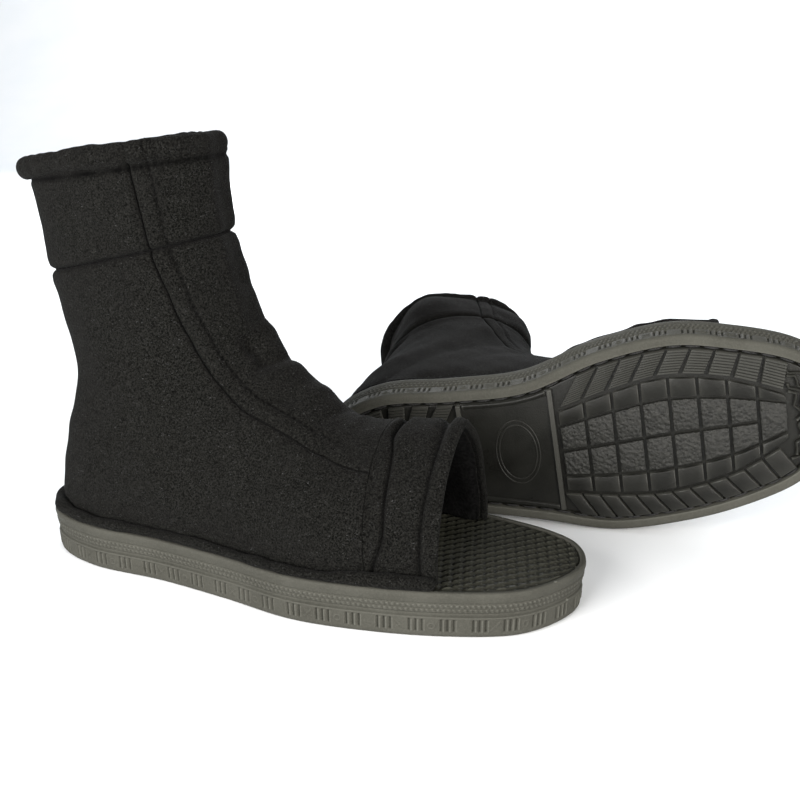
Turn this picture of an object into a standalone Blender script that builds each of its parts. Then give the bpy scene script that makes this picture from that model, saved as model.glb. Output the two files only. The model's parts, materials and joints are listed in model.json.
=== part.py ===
"""A pair of open-toed pull-on ankle boots, modelled in metres with +Z up.

The right boot stands on its sole with its toe towards +X and its outer (lateral) side towards -Y.
The left boot is its mirror image. It lies behind on its lateral side, with its sole facing -Y.
Each boot is built up as a shoemaker would: tread plate and midsole, footbed, cut panels of padded
cloth, collar foam, heel counter, lining, and the rolled edges that finish them.
"""

import math

import bmesh
import bpy
import numpy as np
from mathutils import Matrix, Vector

MM = 0.001

# Sole, in millimetres from the back of the heel.
SOLE_LENGTH = 250.0
SOLE_TOP = 20.5
TOE_TIP_SIDE = 4.3  # the toe's foremost point lies this far to the medial side
# (distance from the heel, lateral half-width, medial half-width)
SOLE_STATIONS = (
    (10, 20.2, 21.5),
    (35, 32.0, 31.7),
    (70, 35.1, 30.5),
    (105, 41.7, 31.1),
    (140, 49.6, 42.3),
    (175, 48.0, 47.1),
    (205, 41.8, 42.1),
    (230, 31.5, 34.2),
    (244, 15.0, 23.0),
)
OUTLINE_POINTS = 56
FOXING_TOP = 9.3  # height of the step between the ribbed lower wall and the upper wall
WALL_STEP = 0.6  # the upper wall stands in by this much
EDGE_ROUND = 0.9
RIM_WIDTH = 2.2  # midsole rim round the footbed
FOOTBED_THICK = 2.0
GAP = 0.3  # clearance between pieces that touch
CHANNEL_OUTER = 6.2  # the stitch channel under the sole runs between these two insets
CHANNEL_INNER = 8.4
CHANNEL_DEPTH = 4.4
THREAD_RADIUS = 0.5
SHANK_FROM, SHANK_TO = 92.0, 122.0  # smooth waist between the heel pad and the forefoot pad
SHANK_RISE = 1.5

# Upper. Each section runs from the front ridge, down or back, to the sole's edge or the back of the leg.
BASE_INSET = 6.0  # the upper meets the footbed this far inside the sole's outline
BASE_Z = SOLE_TOP + GAP
HEEL = 7  # the first section that closes round the back of the heel
# (ridge x, ridge z, end x, end z, lateral half-width, medial half-width, seam's share of the way from
# ridge to end, lateral fullness, medial fullness); a low fullness is a boxier side, a high one a flatter
SECTIONS = (
    (200.0, 75.5, 200.0, BASE_Z, 38.5, 37.5, 0.30, 0.95, 1.50),
    (167.0, 72.5, 171.0, BASE_Z, 43.5, 42.0, 0.29, 0.92, 1.35),
    (148.0, 73.0, 138.0, BASE_Z, 45.0, 38.0, 0.23, 0.95, 1.15),
    (131.0, 84.0, 105.0, BASE_Z, 38.0, 30.5, 0.22, 1.00, 1.00),
    (117.0, 93.0, 70.0, BASE_Z, 34.0, 30.0, 0.20, 0.95, 0.95),
    (109.0, 103.0, 36.0, BASE_Z, 32.5, 31.0, 0.18, 0.92, 0.92),
    (105.5, 110.0, 15.0, BASE_Z, 31.0, 30.5, 0.17, 0.90, 0.90),
    (103.5, 116.0, BASE_INSET, BASE_Z, 30.5, 30.0, 0.17, 0.90, 0.90),
    (101.0, 124.5, 6.0, 36.0, 30.0, 29.5, 0.19, 0.90, 0.90),
    (98.5, 132.0, 10.0, 55.0, 29.5, 29.5, 0.22, 0.90, 0.90),
    (97.0, 139.5, 15.5, 80.0, 29.0, 29.0, 0.26, 0.90, 0.90),
    (95.5, 146.0, 12.0, 106.0, 28.5, 28.5, 0.29, 0.90, 0.90),
    (94.0, 151.0, 7.0, 130.0, 28.0, 28.0, 0.305, 0.90, 0.90),
    (92.0, 166.5, 3.5, 149.5, 29.5, 29.5, 0.30, 0.90, 0.90),
    (90.0, 182.0, -0.5, 168.5, 29.5, 29.5, 0.30, 0.90, 0.90),
    (89.0, 192.0, -3.0, 177.0, 29.5, 29.5, 0.30, 0.90, 0.90),
)
LATERAL_WIDTH, MEDIAL_WIDTH = 4, 5  # their places in a section
# Lying on its side, the left upper has relaxed: extra (lateral, medial) half-width for each section.
LEFT_SLACK = (
    (0, 5.5), (0, 4), (0, 2), (0, 0), (0, 0), (0, 0), (0, 0), (0, 0),
    (0, 1), (1, 2), (2, 3), (3, 4), (3.5, 5), (4, 6), (4, 6.5), (4, 6.5),
)
SHELL_THICK = 1.3
BAND_THICK = 2.2  # the toe band is a doubled strip
SEAM_LEAN, END_LEAN = 0.35, 0.15  # a panel's inner edge leans over its seams by up to this much
FOAM_DEPTH, FOAM_THICK = 1.7, 1.3
COUNTER_DEPTH, COUNTER_THICK = 2.5, 0.9
LINING_DEPTH, LINING_THICK = 4.7, 0.8
LINING_FROM = 0.03
COUNTER_LIFT, LINING_LIFT = 3.0, 5.0  # these stop above the footbed's edge, where the wall leans in
FOAM_FROM = 9.0
COUNTER_FROM, COUNTER_TO, COUNTER_WING = 4.4, 8.7, 1.45
HEM_CENTRE = 14.45  # section position of the rolled hem's middle
HEM_THICK, HEM_TALL = 8.4, 11.6
PANELS_END, LAYERS_END = 13.93, 13.88  # section positions where the cuff's panels and inner layers stop
BEAD_RADIUS = 1.9
BEAD_INSET = 2.3
BEAD_FRONT = 154.0

# Panel grids: section positions down the boot and columns round it.
BAND_ROWS = (0, 0.5, 1)
BODY_ROWS = (1, 2, 3, 4, 5, 5.6, 6.2, 6.6, 6.85, 7, 7.5, 8, 9, 10, 11, 12)
CUFF_ROWS = (12, 13, PANELS_END)
FRONT_COLUMNS, QUARTER_COLUMNS = 3, 7

# How the left boot lies, in degrees: shaft droop, toe rise, turn; and where, beside the right boot.
LEFT_LIE = (-88.5, -9.2, 9.0)
LEFT_AT = (104.4, 66.0)

FABRIC, LINING, FOAM, BOARD = "shell_fabric", "lining_fabric", "collar_foam", "counter_board"
PVC, RUBBER, FOOTBED, THREAD = "midsole_pvc", "tread_rubber", "footbed_pvc", "thread"
# Principled BSDF settings: base colour and roughness; nothing here is metal.
MATERIALS = {
    FABRIC: ((0.016, 0.016, 0.018), 0.95),
    LINING: ((0.010, 0.010, 0.011), 0.95),
    FOAM: ((0.060, 0.060, 0.065), 0.95),
    BOARD: ((0.30, 0.27, 0.22), 0.85),
    PVC: ((0.135, 0.125, 0.100), 0.60),
    RUBBER: ((0.024, 0.023, 0.019), 0.45),
    FOOTBED: ((0.028, 0.026, 0.021), 0.55),
    THREAD: ((0.012, 0.012, 0.012), 0.80),
}


def clear_scene():
    for old in list(bpy.data.objects):
        bpy.data.objects.remove(old, do_unlink=True)


def make_collection(name):
    made = bpy.data.collections.new(name)
    bpy.context.scene.collection.children.link(made)
    return made


def make_material(name):
    colour, roughness = MATERIALS[name]
    material = bpy.data.materials.new(name)
    material.use_nodes = True
    shader = material.node_tree.nodes["Principled BSDF"]
    shader.inputs["Base Color"].default_value = (*colour, 1.0)
    shader.inputs["Roughness"].default_value = roughness
    shader.inputs["Metallic"].default_value = 0.0
    return material


def add_object(name, data, material):
    data.materials.clear()
    data.materials.append(bpy.data.materials[material])
    made = bpy.data.objects.new(name, data)
    bpy.data.collections["boots"].objects.link(made)
    return made


# ---- Shape functions, all in millimetres for the right boot ----


def spline_at(values, position):
    """Catmull-Rom curve through the rows of values, read at fractional row positions."""
    values, position = np.asarray(values, float), np.atleast_1d(position)
    padded = np.vstack([2 * values[0] - values[1], values, 2 * values[-1] - values[-2]])
    row = np.clip(np.floor(position).astype(int), 0, len(values) - 2)
    t = (position - row)[:, None]
    before, start, end, after = (padded[row + i] for i in range(4))
    return 0.5 * (
        2 * start
        + (end - before) * t
        + (2 * before - 5 * start + 4 * end - after) * t**2
        + (3 * start - before - 3 * end + after) * t**3
    )


def evenly(points, count):
    """A closed line through points, cut into count equal steps."""
    loop = np.vstack([points, points[:1]])
    along = np.r_[0, np.cumsum(np.linalg.norm(np.diff(loop, axis=0), axis=1))]
    wanted = np.linspace(0, along[-1], count, endpoint=False)
    return np.column_stack([np.interp(wanted, along, loop[:, i]) for i in range(2)])


def sole_outline(count=720, inset=0.0):
    """The sole from above, starting at the heel and running up the lateral side; inset moves it inwards."""
    lateral = [(x, -width) for x, width, _ in SOLE_STATIONS]
    medial = [(x, width) for x, _, width in reversed(SOLE_STATIONS)]
    corners = np.array([(0, 0), *lateral, (SOLE_LENGTH, TOE_TIP_SIDE), *medial], float)
    wrapped = np.vstack([corners[-2:], corners, corners[:3]])
    dense = spline_at(wrapped, np.linspace(2, 2 + len(corners), 40 * len(corners), endpoint=False))
    line = evenly(dense, count)
    ahead = np.roll(line, -1, axis=0) - np.roll(line, 1, axis=0)
    ahead /= np.linalg.norm(ahead, axis=1)[:, None]
    inwards = np.column_stack([-ahead[:, 1], ahead[:, 0]])
    return line + inwards * inset


BASE_LINE = sole_outline(inset=BASE_INSET)


def base_half_width(x, side):
    """How far from the centre line the upper meets the footbed; side is -1 lateral, 1 medial."""
    line = BASE_LINE[BASE_LINE[:, 1] * side > 0]
    line = line[np.argsort(line[:, 0])]
    line = np.vstack([(BASE_INSET, 0), line])
    return np.interp(x, line[:, 0], np.abs(line[:, 1]))


def upper_points(sections, rows, columns, lift=0.0):
    """Points of the upper's outer surface. A row is a section position; a column is 0 at the front ridge,
    1 at the front panel's seam and 2 at the sole's edge or the back seam, below zero on the lateral side.
    lift ends the low sections that far above the footbed."""
    rows, columns = np.asarray(rows, float), np.asarray(columns, float)
    section = spline_at(sections, rows)[:, None, :]
    ridge_x, ridge_z, end_x, end_z, lateral, medial, seam, full_lateral, full_medial = (
        section[..., i] for i in range(9)
    )
    end_x = np.where(rows[:, None] < HEEL, np.maximum(end_x, BASE_INSET), end_x)
    end_z = np.where(rows[:, None] < HEEL, BASE_Z, np.maximum(end_z, BASE_Z))
    side = np.where(columns < 0, -1, 1)[None, :]
    widest = np.where(side < 0, lateral, medial)
    fullness = np.where(side < 0, full_lateral, full_medial)
    foot = np.where(side < 0, base_half_width(end_x, -1), base_half_width(end_x, 1))
    foot = np.where(rows[:, None] < HEEL, foot, 0.0)
    last = math.pi - np.arcsin(np.clip(foot / widest, 0, 1) ** (1 / fullness))
    reach = 1 - np.cos(last)
    at_seam = np.arccos(1 - seam * reach)
    stop_share = np.clip(1 - (BASE_Z + lift - end_z) / (ridge_z - end_z), 0, 1)
    stop = np.arccos(np.clip(1 - stop_share * reach, -1, 1))
    out = np.abs(columns)[None, :]
    angle = np.where(out <= 1, out * at_seam, at_seam + (out - 1) * (stop - at_seam))
    share = (1 - np.cos(angle)) / reach
    x = ridge_x + (end_x - ridge_x) * share
    y = side * widest * np.clip(np.sin(angle), 0, 1) ** fullness
    z = ridge_z + (end_z - ridge_z) * share
    return np.stack([x, y, z], axis=-1)


def row_at_height(height):
    """The section position whose back point is at this height."""
    positions = np.linspace(HEEL, len(SECTIONS) - 1, 800)
    return float(np.interp(height, spline_at(SECTIONS, positions)[:, 3], positions))


def half_columns(first, last):
    """Columns from first to last, with the panels' own spacing on each side of the seam."""
    front = np.linspace(0, 1, FRONT_COLUMNS + 1)
    quarter = np.linspace(1, 2, QUARTER_COLUMNS + 1)
    columns = np.unique(np.r_[front, quarter])
    return columns[(columns >= first - 1e-9) & (columns <= last + 1e-9)]


def all_round(step=1):
    """Columns from the lateral sole edge, over the ridge, to the medial one."""
    half = half_columns(0, 2)[::step]
    if half[-1] < 2:
        half = np.r_[half, 2.0]
    return np.r_[-half[:0:-1], half]


# ---- Mesh builders ----


def mesh_of(name, points, faces):
    mesh = bpy.data.meshes.new(name)
    mesh.from_pydata((np.asarray(points).reshape(-1, 3) * MM).tolist(), [], faces)
    mesh.update()
    return mesh


def grid_faces(rows, columns, wrap_rows=False, wrap_columns=False):
    faces = []
    for i in range(rows if wrap_rows else rows - 1):
        for j in range(columns if wrap_columns else columns - 1):
            below, beside = (i + 1) % rows, (j + 1) % columns
            faces.append(
                (i * columns + j, i * columns + beside, below * columns + beside, below * columns + j)
            )
    return faces


def pull_in(points, end_amount, side_amount):
    """Draws the borders of a grid of points inwards along the grid: its first and last rows by one amount,
    and its first and last columns by the other."""
    points = points.copy()
    for first, second in ((0, 1), (-1, -2)):
        for view, amount in ((points, end_amount), (points.swapaxes(0, 1), side_amount)):
            step = view[second] - view[first]
            view[first] += step / np.maximum(np.linalg.norm(step, axis=-1, keepdims=True), 1e-9) * amount
    return points


def add_sheet(name, points, depth, thickness, material, join_back=False):
    """A layer of the upper: an open grid of surface points, sunk by depth, with Solidify inwards."""
    rows, columns = points.shape[:2]
    mesh = mesh_of(name, points, grid_faces(rows, columns))
    if join_back:
        weld(mesh)
    sheet = add_object(name, mesh, material)
    solid = sheet.modifiers.new("thickness", "SOLIDIFY")
    solid.thickness = thickness * MM
    solid.offset = -1 - 2 * depth / thickness
    return sheet


def weld(mesh, within=1e-6):
    edit = bmesh.new()
    edit.from_mesh(mesh)
    bmesh.ops.remove_doubles(edit, verts=edit.verts, dist=within)
    bmesh.ops.dissolve_degenerate(edit, edges=edit.edges, dist=within)
    edit.to_mesh(mesh)
    edit.free()


def add_panel(name, sections, rows, columns, thickness=SHELL_THICK):
    points = pull_in(upper_points(sections, rows, columns), GAP / 2 + END_LEAN, GAP / 2 + SEAM_LEAN)
    return add_sheet(name, points, 0, thickness, FABRIC)


def add_plate(name, inset, bottom, top, material):
    """A flat piece with the sole's outline, as a filled 2D curve."""
    curve = bpy.data.curves.new(name, "CURVE")
    curve.dimensions = "2D"
    curve.fill_mode = "BOTH"
    curve.extrude = (top - bottom) / 2 * MM
    outline = sole_outline(OUTLINE_POINTS, inset)
    spline = curve.splines.new("POLY")
    spline.points.add(len(outline) - 1)
    for point, (x, y) in zip(spline.points, outline):
        point.co = (x * MM, y * MM, 0, 1)
    spline.use_cyclic_u = True
    plate = add_object(name, curve, material)
    plate.location.z = (bottom + top) / 2 * MM
    return plate


def as_mesh(plate):
    """The same object as a mesh, so that it can take a Boolean."""
    bpy.context.view_layer.update()
    graph = bpy.context.evaluated_depsgraph_get()
    mesh = bpy.data.meshes.new_from_object(plate.evaluated_get(graph))
    weld(mesh)
    name, material, place = plate.name, plate.data.materials[0].name, plate.matrix_world.copy()
    bpy.data.objects.remove(plate)
    made = add_object(name, mesh, material)
    made.matrix_world = place
    return made


def add_tube(name, path, radius, material, closed=False, resolution=1):
    curve = bpy.data.curves.new(name, "CURVE")
    curve.dimensions = "3D"
    curve.bevel_depth = radius * MM
    curve.bevel_resolution = resolution
    curve.use_fill_caps = not closed
    spline = curve.splines.new("POLY")
    spline.points.add(len(path) - 1)
    for point, place in zip(spline.points, path):
        point.co = (*(np.asarray(place) * MM), 1)
    spline.use_cyclic_u = closed
    return add_object(name, curve, material)


def cut_box(target, low, high):
    """Cuts the box between two corners out of target."""
    bpy.ops.mesh.primitive_cube_add(size=1)
    cutter = bpy.context.object
    cutter.location = target.matrix_world.inverted() @ ((Vector(low) + Vector(high)) / 2 * MM)
    cutter.name = target.name + "_cutter"
    cutter.data.transform(Matrix.Diagonal((*((Vector(high) - Vector(low)) * MM), 1)))
    cutter.hide_render = True
    cutter.display_type = "WIRE"
    cutter.parent = target
    for collection in list(cutter.users_collection):
        collection.objects.unlink(cutter)
    bpy.data.collections["cutters"].objects.link(cutter)
    cut = target.modifiers.new("cut", "BOOLEAN")
    cut.operation = "DIFFERENCE"
    cut.object = cutter


# ---- The sole ----


def build_midsole():
    """The moulded cup: ribbed lower wall, plainer upper wall, a recess above for the footbed and one below
    for the tread plate."""
    profile = (
        (CHANNEL_OUTER, CHANNEL_DEPTH),
        (CHANNEL_OUTER, 0),
        (EDGE_ROUND, 0),
        (0, EDGE_ROUND),
        (0, FOXING_TOP),
        (WALL_STEP, FOXING_TOP + 0.8),
        (WALL_STEP, SOLE_TOP - 0.6),
        (WALL_STEP + 0.4, SOLE_TOP),
        (RIM_WIDTH, SOLE_TOP),
        (RIM_WIDTH, SOLE_TOP - FOOTBED_THICK - GAP),
    )
    rings = []
    for inset, height in profile:
        outline = sole_outline(OUTLINE_POINTS, inset)
        rings.append(np.column_stack([outline, np.full(len(outline), height)]))
    count = OUTLINE_POINTS
    faces = [face[::-1] for face in grid_faces(len(rings), count, wrap_columns=True)]
    faces = [face[::-1] for face in faces]
    bottom = list(range(count))
    top = [(len(rings) - 1) * count + i for i in range(count)]
    mesh = mesh_of("midsole", np.array(rings), [*faces, bottom[::-1], top])
    edit = bmesh.new()
    edit.from_mesh(mesh)
    bmesh.ops.recalc_face_normals(edit, faces=edit.faces)
    edit.to_mesh(mesh)
    edit.free()
    add_object("midsole", mesh, PVC)


def build_tread_plate():
    """Rubber plate in the midsole's underside, with a heel pad and a forefoot pad either side of the shank."""
    plate = as_mesh(add_plate("tread_plate", CHANNEL_INNER, 0, CHANNEL_DEPTH - GAP, RUBBER))
    cut_box(plate, (SHANK_FROM, -60, -1), (SHANK_TO, 60, SHANK_RISE))


def build_footbed():
    add_plate("footbed", RIM_WIDTH + GAP, SOLE_TOP - FOOTBED_THICK, SOLE_TOP, FOOTBED)


def build_channel_stitch():
    """The thread that sews the upper down, lying in the channel round the tread plate."""
    middle = (CHANNEL_OUTER + CHANNEL_INNER) / 2
    outline = sole_outline(44, middle)
    path = np.column_stack([outline, np.full(len(outline), CHANNEL_DEPTH / 2)])
    add_tube("channel_stitch", path, THREAD_RADIUS, THREAD, closed=True, resolution=0)


# ---- The upper ----


def build_panels(sections):
    """Cut panels: toe band, front panel and two quarters, then the three pieces of the cuff."""
    add_panel("toe_band", sections, BAND_ROWS, all_round(), BAND_THICK)
    front = np.r_[-half_columns(0, 1)[:0:-1], half_columns(0, 1)]
    side = half_columns(1, 2)
    add_panel("front_panel", sections, BODY_ROWS, front)
    add_panel("lateral_quarter", sections, BODY_ROWS, -side[::-1])
    add_panel("medial_quarter", sections, BODY_ROWS, side)
    add_panel("cuff_front", sections, CUFF_ROWS, front)
    add_panel("cuff_lateral", sections, CUFF_ROWS, -side[::-1])
    add_panel("cuff_medial", sections, CUFF_ROWS, side)


def build_collar_foam(sections):
    rows = (FOAM_FROM, 10, 11, 12, 13, LAYERS_END)
    points = upper_points(sections, rows, all_round())
    add_sheet("collar_foam", points, FOAM_DEPTH, FOAM_THICK, FOAM, join_back=True)


def build_heel_counter(sections):
    """A stiff cup round the heel, between the quarters and the lining: two wings joined at the back."""
    closes = row_at_height(BASE_Z + COUNTER_LIFT)
    rows = np.array([COUNTER_FROM, 5, 5.6, 6.2, 6.6, 6.85, HEEL, closes, 7.5, 8, COUNTER_TO])
    half = half_columns(COUNTER_WING, 2)
    lateral = upper_points(sections, rows, -half[::-1], COUNTER_LIFT)
    medial = upper_points(sections, rows, half, COUNTER_LIFT)
    faces = grid_faces(*lateral.shape[:2])
    offset = lateral.shape[0] * lateral.shape[1]
    faces += [tuple(corner + offset for corner in face) for face in faces]
    mesh = mesh_of("heel_counter", np.concatenate([lateral.reshape(-1, 3), medial.reshape(-1, 3)]), faces)
    weld(mesh)
    counter = add_object("heel_counter", mesh, BOARD)
    solid = counter.modifiers.new("thickness", "SOLIDIFY")
    solid.thickness = COUNTER_THICK * MM
    solid.offset = -1 - 2 * COUNTER_DEPTH / COUNTER_THICK


def build_lining(sections):
    closes = row_at_height(BASE_Z + LINING_LIFT)
    rows = np.unique([LINING_FROM, 0.5, *BODY_ROWS, closes, 13, LAYERS_END])
    points = upper_points(sections, rows, all_round(2), LINING_LIFT)
    add_sheet("lining", points, LINING_DEPTH, LINING_THICK, LINING, join_back=True)


def build_top_hem(sections):
    """The rolled hem: an oval section carried round the top of the cuff."""
    columns = all_round()[:-1]
    middle, above = upper_points(sections, (HEM_CENTRE, HEM_CENTRE + 0.05), columns)
    up = above - middle
    up /= np.linalg.norm(up, axis=1)[:, None]
    along = np.roll(middle, -1, axis=0) - np.roll(middle, 1, axis=0)
    out = np.cross(along, up)
    out /= np.linalg.norm(out, axis=1)[:, None]
    centre = middle - out * (LINING_DEPTH + LINING_THICK) / 2
    turn = np.linspace(0, 2 * math.pi, 8, endpoint=False)[None, :, None]
    points = (
        centre[:, None]
        + out[:, None] * np.cos(turn) * HEM_THICK / 2
        + up[:, None] * np.sin(turn) * HEM_TALL / 2
    )
    mesh = mesh_of("top_hem", points, grid_faces(len(columns), 8, wrap_rows=True, wrap_columns=True))
    edit = bmesh.new()
    edit.from_mesh(mesh)
    bmesh.ops.recalc_face_normals(edit, faces=edit.faces)
    edit.to_mesh(mesh)
    edit.free()
    add_object("top_hem", mesh, FABRIC)


def build_welt_bead():
    """The upper's turned edge, a soft roll lying on the footbed's margin from one side round the heel."""
    line = sole_outline(64, BEAD_INSET)
    heel_first = np.roll(line, len(line) // 2, axis=0)
    path = heel_first[heel_first[:, 0] < BEAD_FRONT]
    height = SOLE_TOP + GAP + BEAD_RADIUS
    add_tube("welt_bead", np.column_stack([path, np.full(len(path), height)]), BEAD_RADIUS, FABRIC)


# ---- The pair ----


def shade(mesh):
    mesh.shade_smooth()
    mesh.set_sharp_from_angle(angle=math.radians(35))


def build_boot(sections):
    """All the pieces of one boot, in the right boot's form."""
    build_midsole()
    build_tread_plate()
    build_footbed()
    build_channel_stitch()
    build_panels(sections)
    build_collar_foam(sections)
    build_heel_counter(sections)
    build_lining(sections)
    build_top_hem(sections)
    build_welt_bead()
    bpy.context.view_layer.update()
    pieces = bpy.data.collections["boots"].objects
    return [piece for piece in pieces if piece.type != "EMPTY" and not piece.parent]


def mirror_piece(piece):
    """Replaces a right boot's piece with the left boot's."""
    graph = bpy.context.evaluated_depsgraph_get()
    mesh = bpy.data.meshes.new_from_object(piece.evaluated_get(graph))
    mesh.transform(Matrix.Scale(-1, 4, (0, 1, 0)) @ piece.matrix_world)
    mesh.flip_normals()
    weld(mesh)
    name, material = piece.name, piece.data.materials[0].name
    for cutter in piece.children:
        bpy.data.objects.remove(cutter)
    bpy.data.objects.remove(piece)
    return add_object(name, mesh, material)


def hold(pieces, side):
    """Names the pieces for their boot and parents them to an empty at the back of its heel."""
    holder = bpy.data.objects.new(side + "_boot", None)
    bpy.data.collections["boots"].objects.link(holder)
    for piece in pieces:
        piece.name = side + "_" + piece.name
        piece.parent = holder
        if piece.type == "MESH":
            shade(piece.data)
    return holder


def corners_of(pieces):
    """All the evaluated vertices of these pieces in world space."""
    bpy.context.view_layer.update()
    graph = bpy.context.evaluated_depsgraph_get()
    found = []
    for piece in pieces:
        evaluated = piece.evaluated_get(graph)
        mesh = evaluated.to_mesh()
        found += [evaluated.matrix_world @ vertex.co for vertex in mesh.vertices]
        evaluated.to_mesh_clear()
    return np.array(found)


def main():
    clear_scene()
    make_collection("boots")
    make_collection("cutters")
    for name in MATERIALS:
        make_material(name)

    relaxed = np.array(SECTIONS)
    relaxed[:, LATERAL_WIDTH : MEDIAL_WIDTH + 1] += LEFT_SLACK
    left = [mirror_piece(piece) for piece in build_boot(relaxed)]
    lying = hold(left, "left")
    lying.rotation_euler = [math.radians(angle) for angle in LEFT_LIE]
    lying.location = (LEFT_AT[0] * MM, LEFT_AT[1] * MM, 0)
    lying.location.z = -corners_of(left)[:, 2].min()

    right = build_boot(SECTIONS)
    standing = hold(right, "right")

    corners = corners_of(right + left)
    middle = (corners.min(axis=0) + corners.max(axis=0)) / 2
    for holder in (standing, lying):
        holder.location.x -= middle[0]
        holder.location.y -= middle[1]
    bpy.context.view_layer.update()


main()
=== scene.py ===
"""Looks for a pair of open-toed pull-on ankle boots: padded black cloth uppers on moulded grey soles.

Shapes are worked out in millimetres in the right boot's own form: x from the back of the heel to the toe,
y across with the outer (lateral) side negative, z up from the floor. The left boot is a mirror image.
"""

import json
import math

import bmesh
import bpy
import numpy as np
from mathutils import Euler, Matrix, Vector

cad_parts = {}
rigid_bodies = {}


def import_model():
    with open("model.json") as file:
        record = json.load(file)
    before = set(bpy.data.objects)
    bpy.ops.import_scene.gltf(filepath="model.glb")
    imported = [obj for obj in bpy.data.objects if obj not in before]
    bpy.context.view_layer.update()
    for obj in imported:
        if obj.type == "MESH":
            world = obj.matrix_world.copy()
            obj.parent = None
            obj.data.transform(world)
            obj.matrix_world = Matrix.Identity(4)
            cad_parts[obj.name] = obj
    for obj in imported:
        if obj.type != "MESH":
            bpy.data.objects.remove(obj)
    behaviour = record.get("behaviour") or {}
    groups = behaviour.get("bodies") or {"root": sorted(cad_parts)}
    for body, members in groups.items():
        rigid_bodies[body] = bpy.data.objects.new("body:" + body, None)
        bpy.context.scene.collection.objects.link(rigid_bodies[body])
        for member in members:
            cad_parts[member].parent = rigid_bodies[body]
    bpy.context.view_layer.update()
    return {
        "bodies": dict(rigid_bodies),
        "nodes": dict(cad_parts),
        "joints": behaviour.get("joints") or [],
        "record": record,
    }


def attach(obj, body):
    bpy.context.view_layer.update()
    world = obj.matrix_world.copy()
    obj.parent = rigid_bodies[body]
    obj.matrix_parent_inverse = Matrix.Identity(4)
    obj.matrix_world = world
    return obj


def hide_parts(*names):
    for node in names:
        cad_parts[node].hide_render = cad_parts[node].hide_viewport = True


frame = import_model()

MM = 0.001
UP, DOWN = (0.0, 0.0, 1.0), (0.0, 0.0, -1.0)

# ---- Sizes shared with the CAD model, in millimetres ----

SOLE_LENGTH, SOLE_TOP, TOE_TIP_SIDE = 250.0, 20.5, 4.3
# (distance from the heel, lateral half-width, medial half-width)
SOLE_STATIONS = (
    (10, 20.2, 21.5),
    (35, 32.0, 31.7),
    (70, 35.1, 30.5),
    (105, 41.7, 31.1),
    (140, 49.6, 42.3),
    (175, 48.0, 47.1),
    (205, 41.8, 42.1),
    (230, 31.5, 34.2),
    (244, 15.0, 23.0),
)
FOXING_TOP = 9.3
RIM_WIDTH, FOOTBED_THICK = 2.2, 2.0
CHANNEL_OUTER, CHANNEL_INNER, CHANNEL_DEPTH = 6.2, 7.9, 4.4
SHANK_RISE = 1.5
BASE_INSET = 6.0
BASE_Z = SOLE_TOP + 0.3
HEEL = 7  # sections before this one end on the sole, the rest on the back seam
# (ridge x, ridge z, end x, end z, lateral half-width, medial half-width, seam's share of the way from
# ridge to end, lateral fullness, medial fullness)
SECTIONS = (
    (200.0, 75.5, 200.0, BASE_Z, 38.5, 37.5, 0.30, 0.95, 1.50),
    (167.0, 72.5, 171.0, BASE_Z, 43.5, 42.0, 0.29, 0.92, 1.35),
    (148.0, 73.0, 138.0, BASE_Z, 45.0, 38.0, 0.23, 0.95, 1.15),
    (131.0, 84.0, 105.0, BASE_Z, 38.0, 30.5, 0.22, 1.00, 1.00),
    (117.0, 93.0, 70.0, BASE_Z, 34.0, 30.0, 0.20, 0.95, 0.95),
    (109.0, 103.0, 36.0, BASE_Z, 32.5, 31.0, 0.18, 0.92, 0.92),
    (105.5, 110.0, 15.0, BASE_Z, 31.0, 30.5, 0.17, 0.90, 0.90),
    (103.5, 116.0, BASE_INSET, BASE_Z, 30.5, 30.0, 0.17, 0.90, 0.90),
    (101.0, 124.5, 6.0, 36.0, 30.0, 29.5, 0.19, 0.90, 0.90),
    (98.5, 132.0, 10.0, 55.0, 29.5, 29.5, 0.22, 0.90, 0.90),
    (97.0, 139.5, 15.5, 80.0, 29.0, 29.0, 0.26, 0.90, 0.90),
    (95.5, 146.0, 12.0, 106.0, 28.5, 28.5, 0.29, 0.90, 0.90),
    (94.0, 151.0, 7.0, 130.0, 28.0, 28.0, 0.305, 0.90, 0.90),
    (92.0, 166.5, 3.5, 149.5, 29.5, 29.5, 0.30, 0.90, 0.90),
    (90.0, 182.0, -0.5, 168.5, 29.5, 29.5, 0.30, 0.90, 0.90),
    (89.0, 192.0, -3.0, 177.0, 29.5, 29.5, 0.30, 0.90, 0.90),
)
LATERAL_WIDTH, MEDIAL_WIDTH = 4, 5
LEFT_SLACK = (
    (0, 5.5), (0, 4), (0, 2), (0, 0), (0, 0), (0, 0), (0, 0), (0, 0),
    (0, 1), (1, 2), (2, 3), (3, 4), (3.5, 5), (4, 6), (4, 6.5), (4, 6.5),
)
BAND_SEAM, CUFF_SEAM, HEM_SEAM, HEM_CENTRE, PANELS_END = 1, 12, 14.06, 14.62, 14.4
PUFF_CAP, SIMULATED_FRAMES, SEAM_HOLD = 2.4, 20, 0.9
TOPSTITCH = 8.0  # how far in front of each front seam its row of stitches runs
CROSS_PITCH, TOPSTITCH_PITCH, BAND_PITCH = 2.8, 3.2, 3.4
LEG_EDGE = 8.0  # how far from the ridge the leg's flat front face ends
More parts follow.
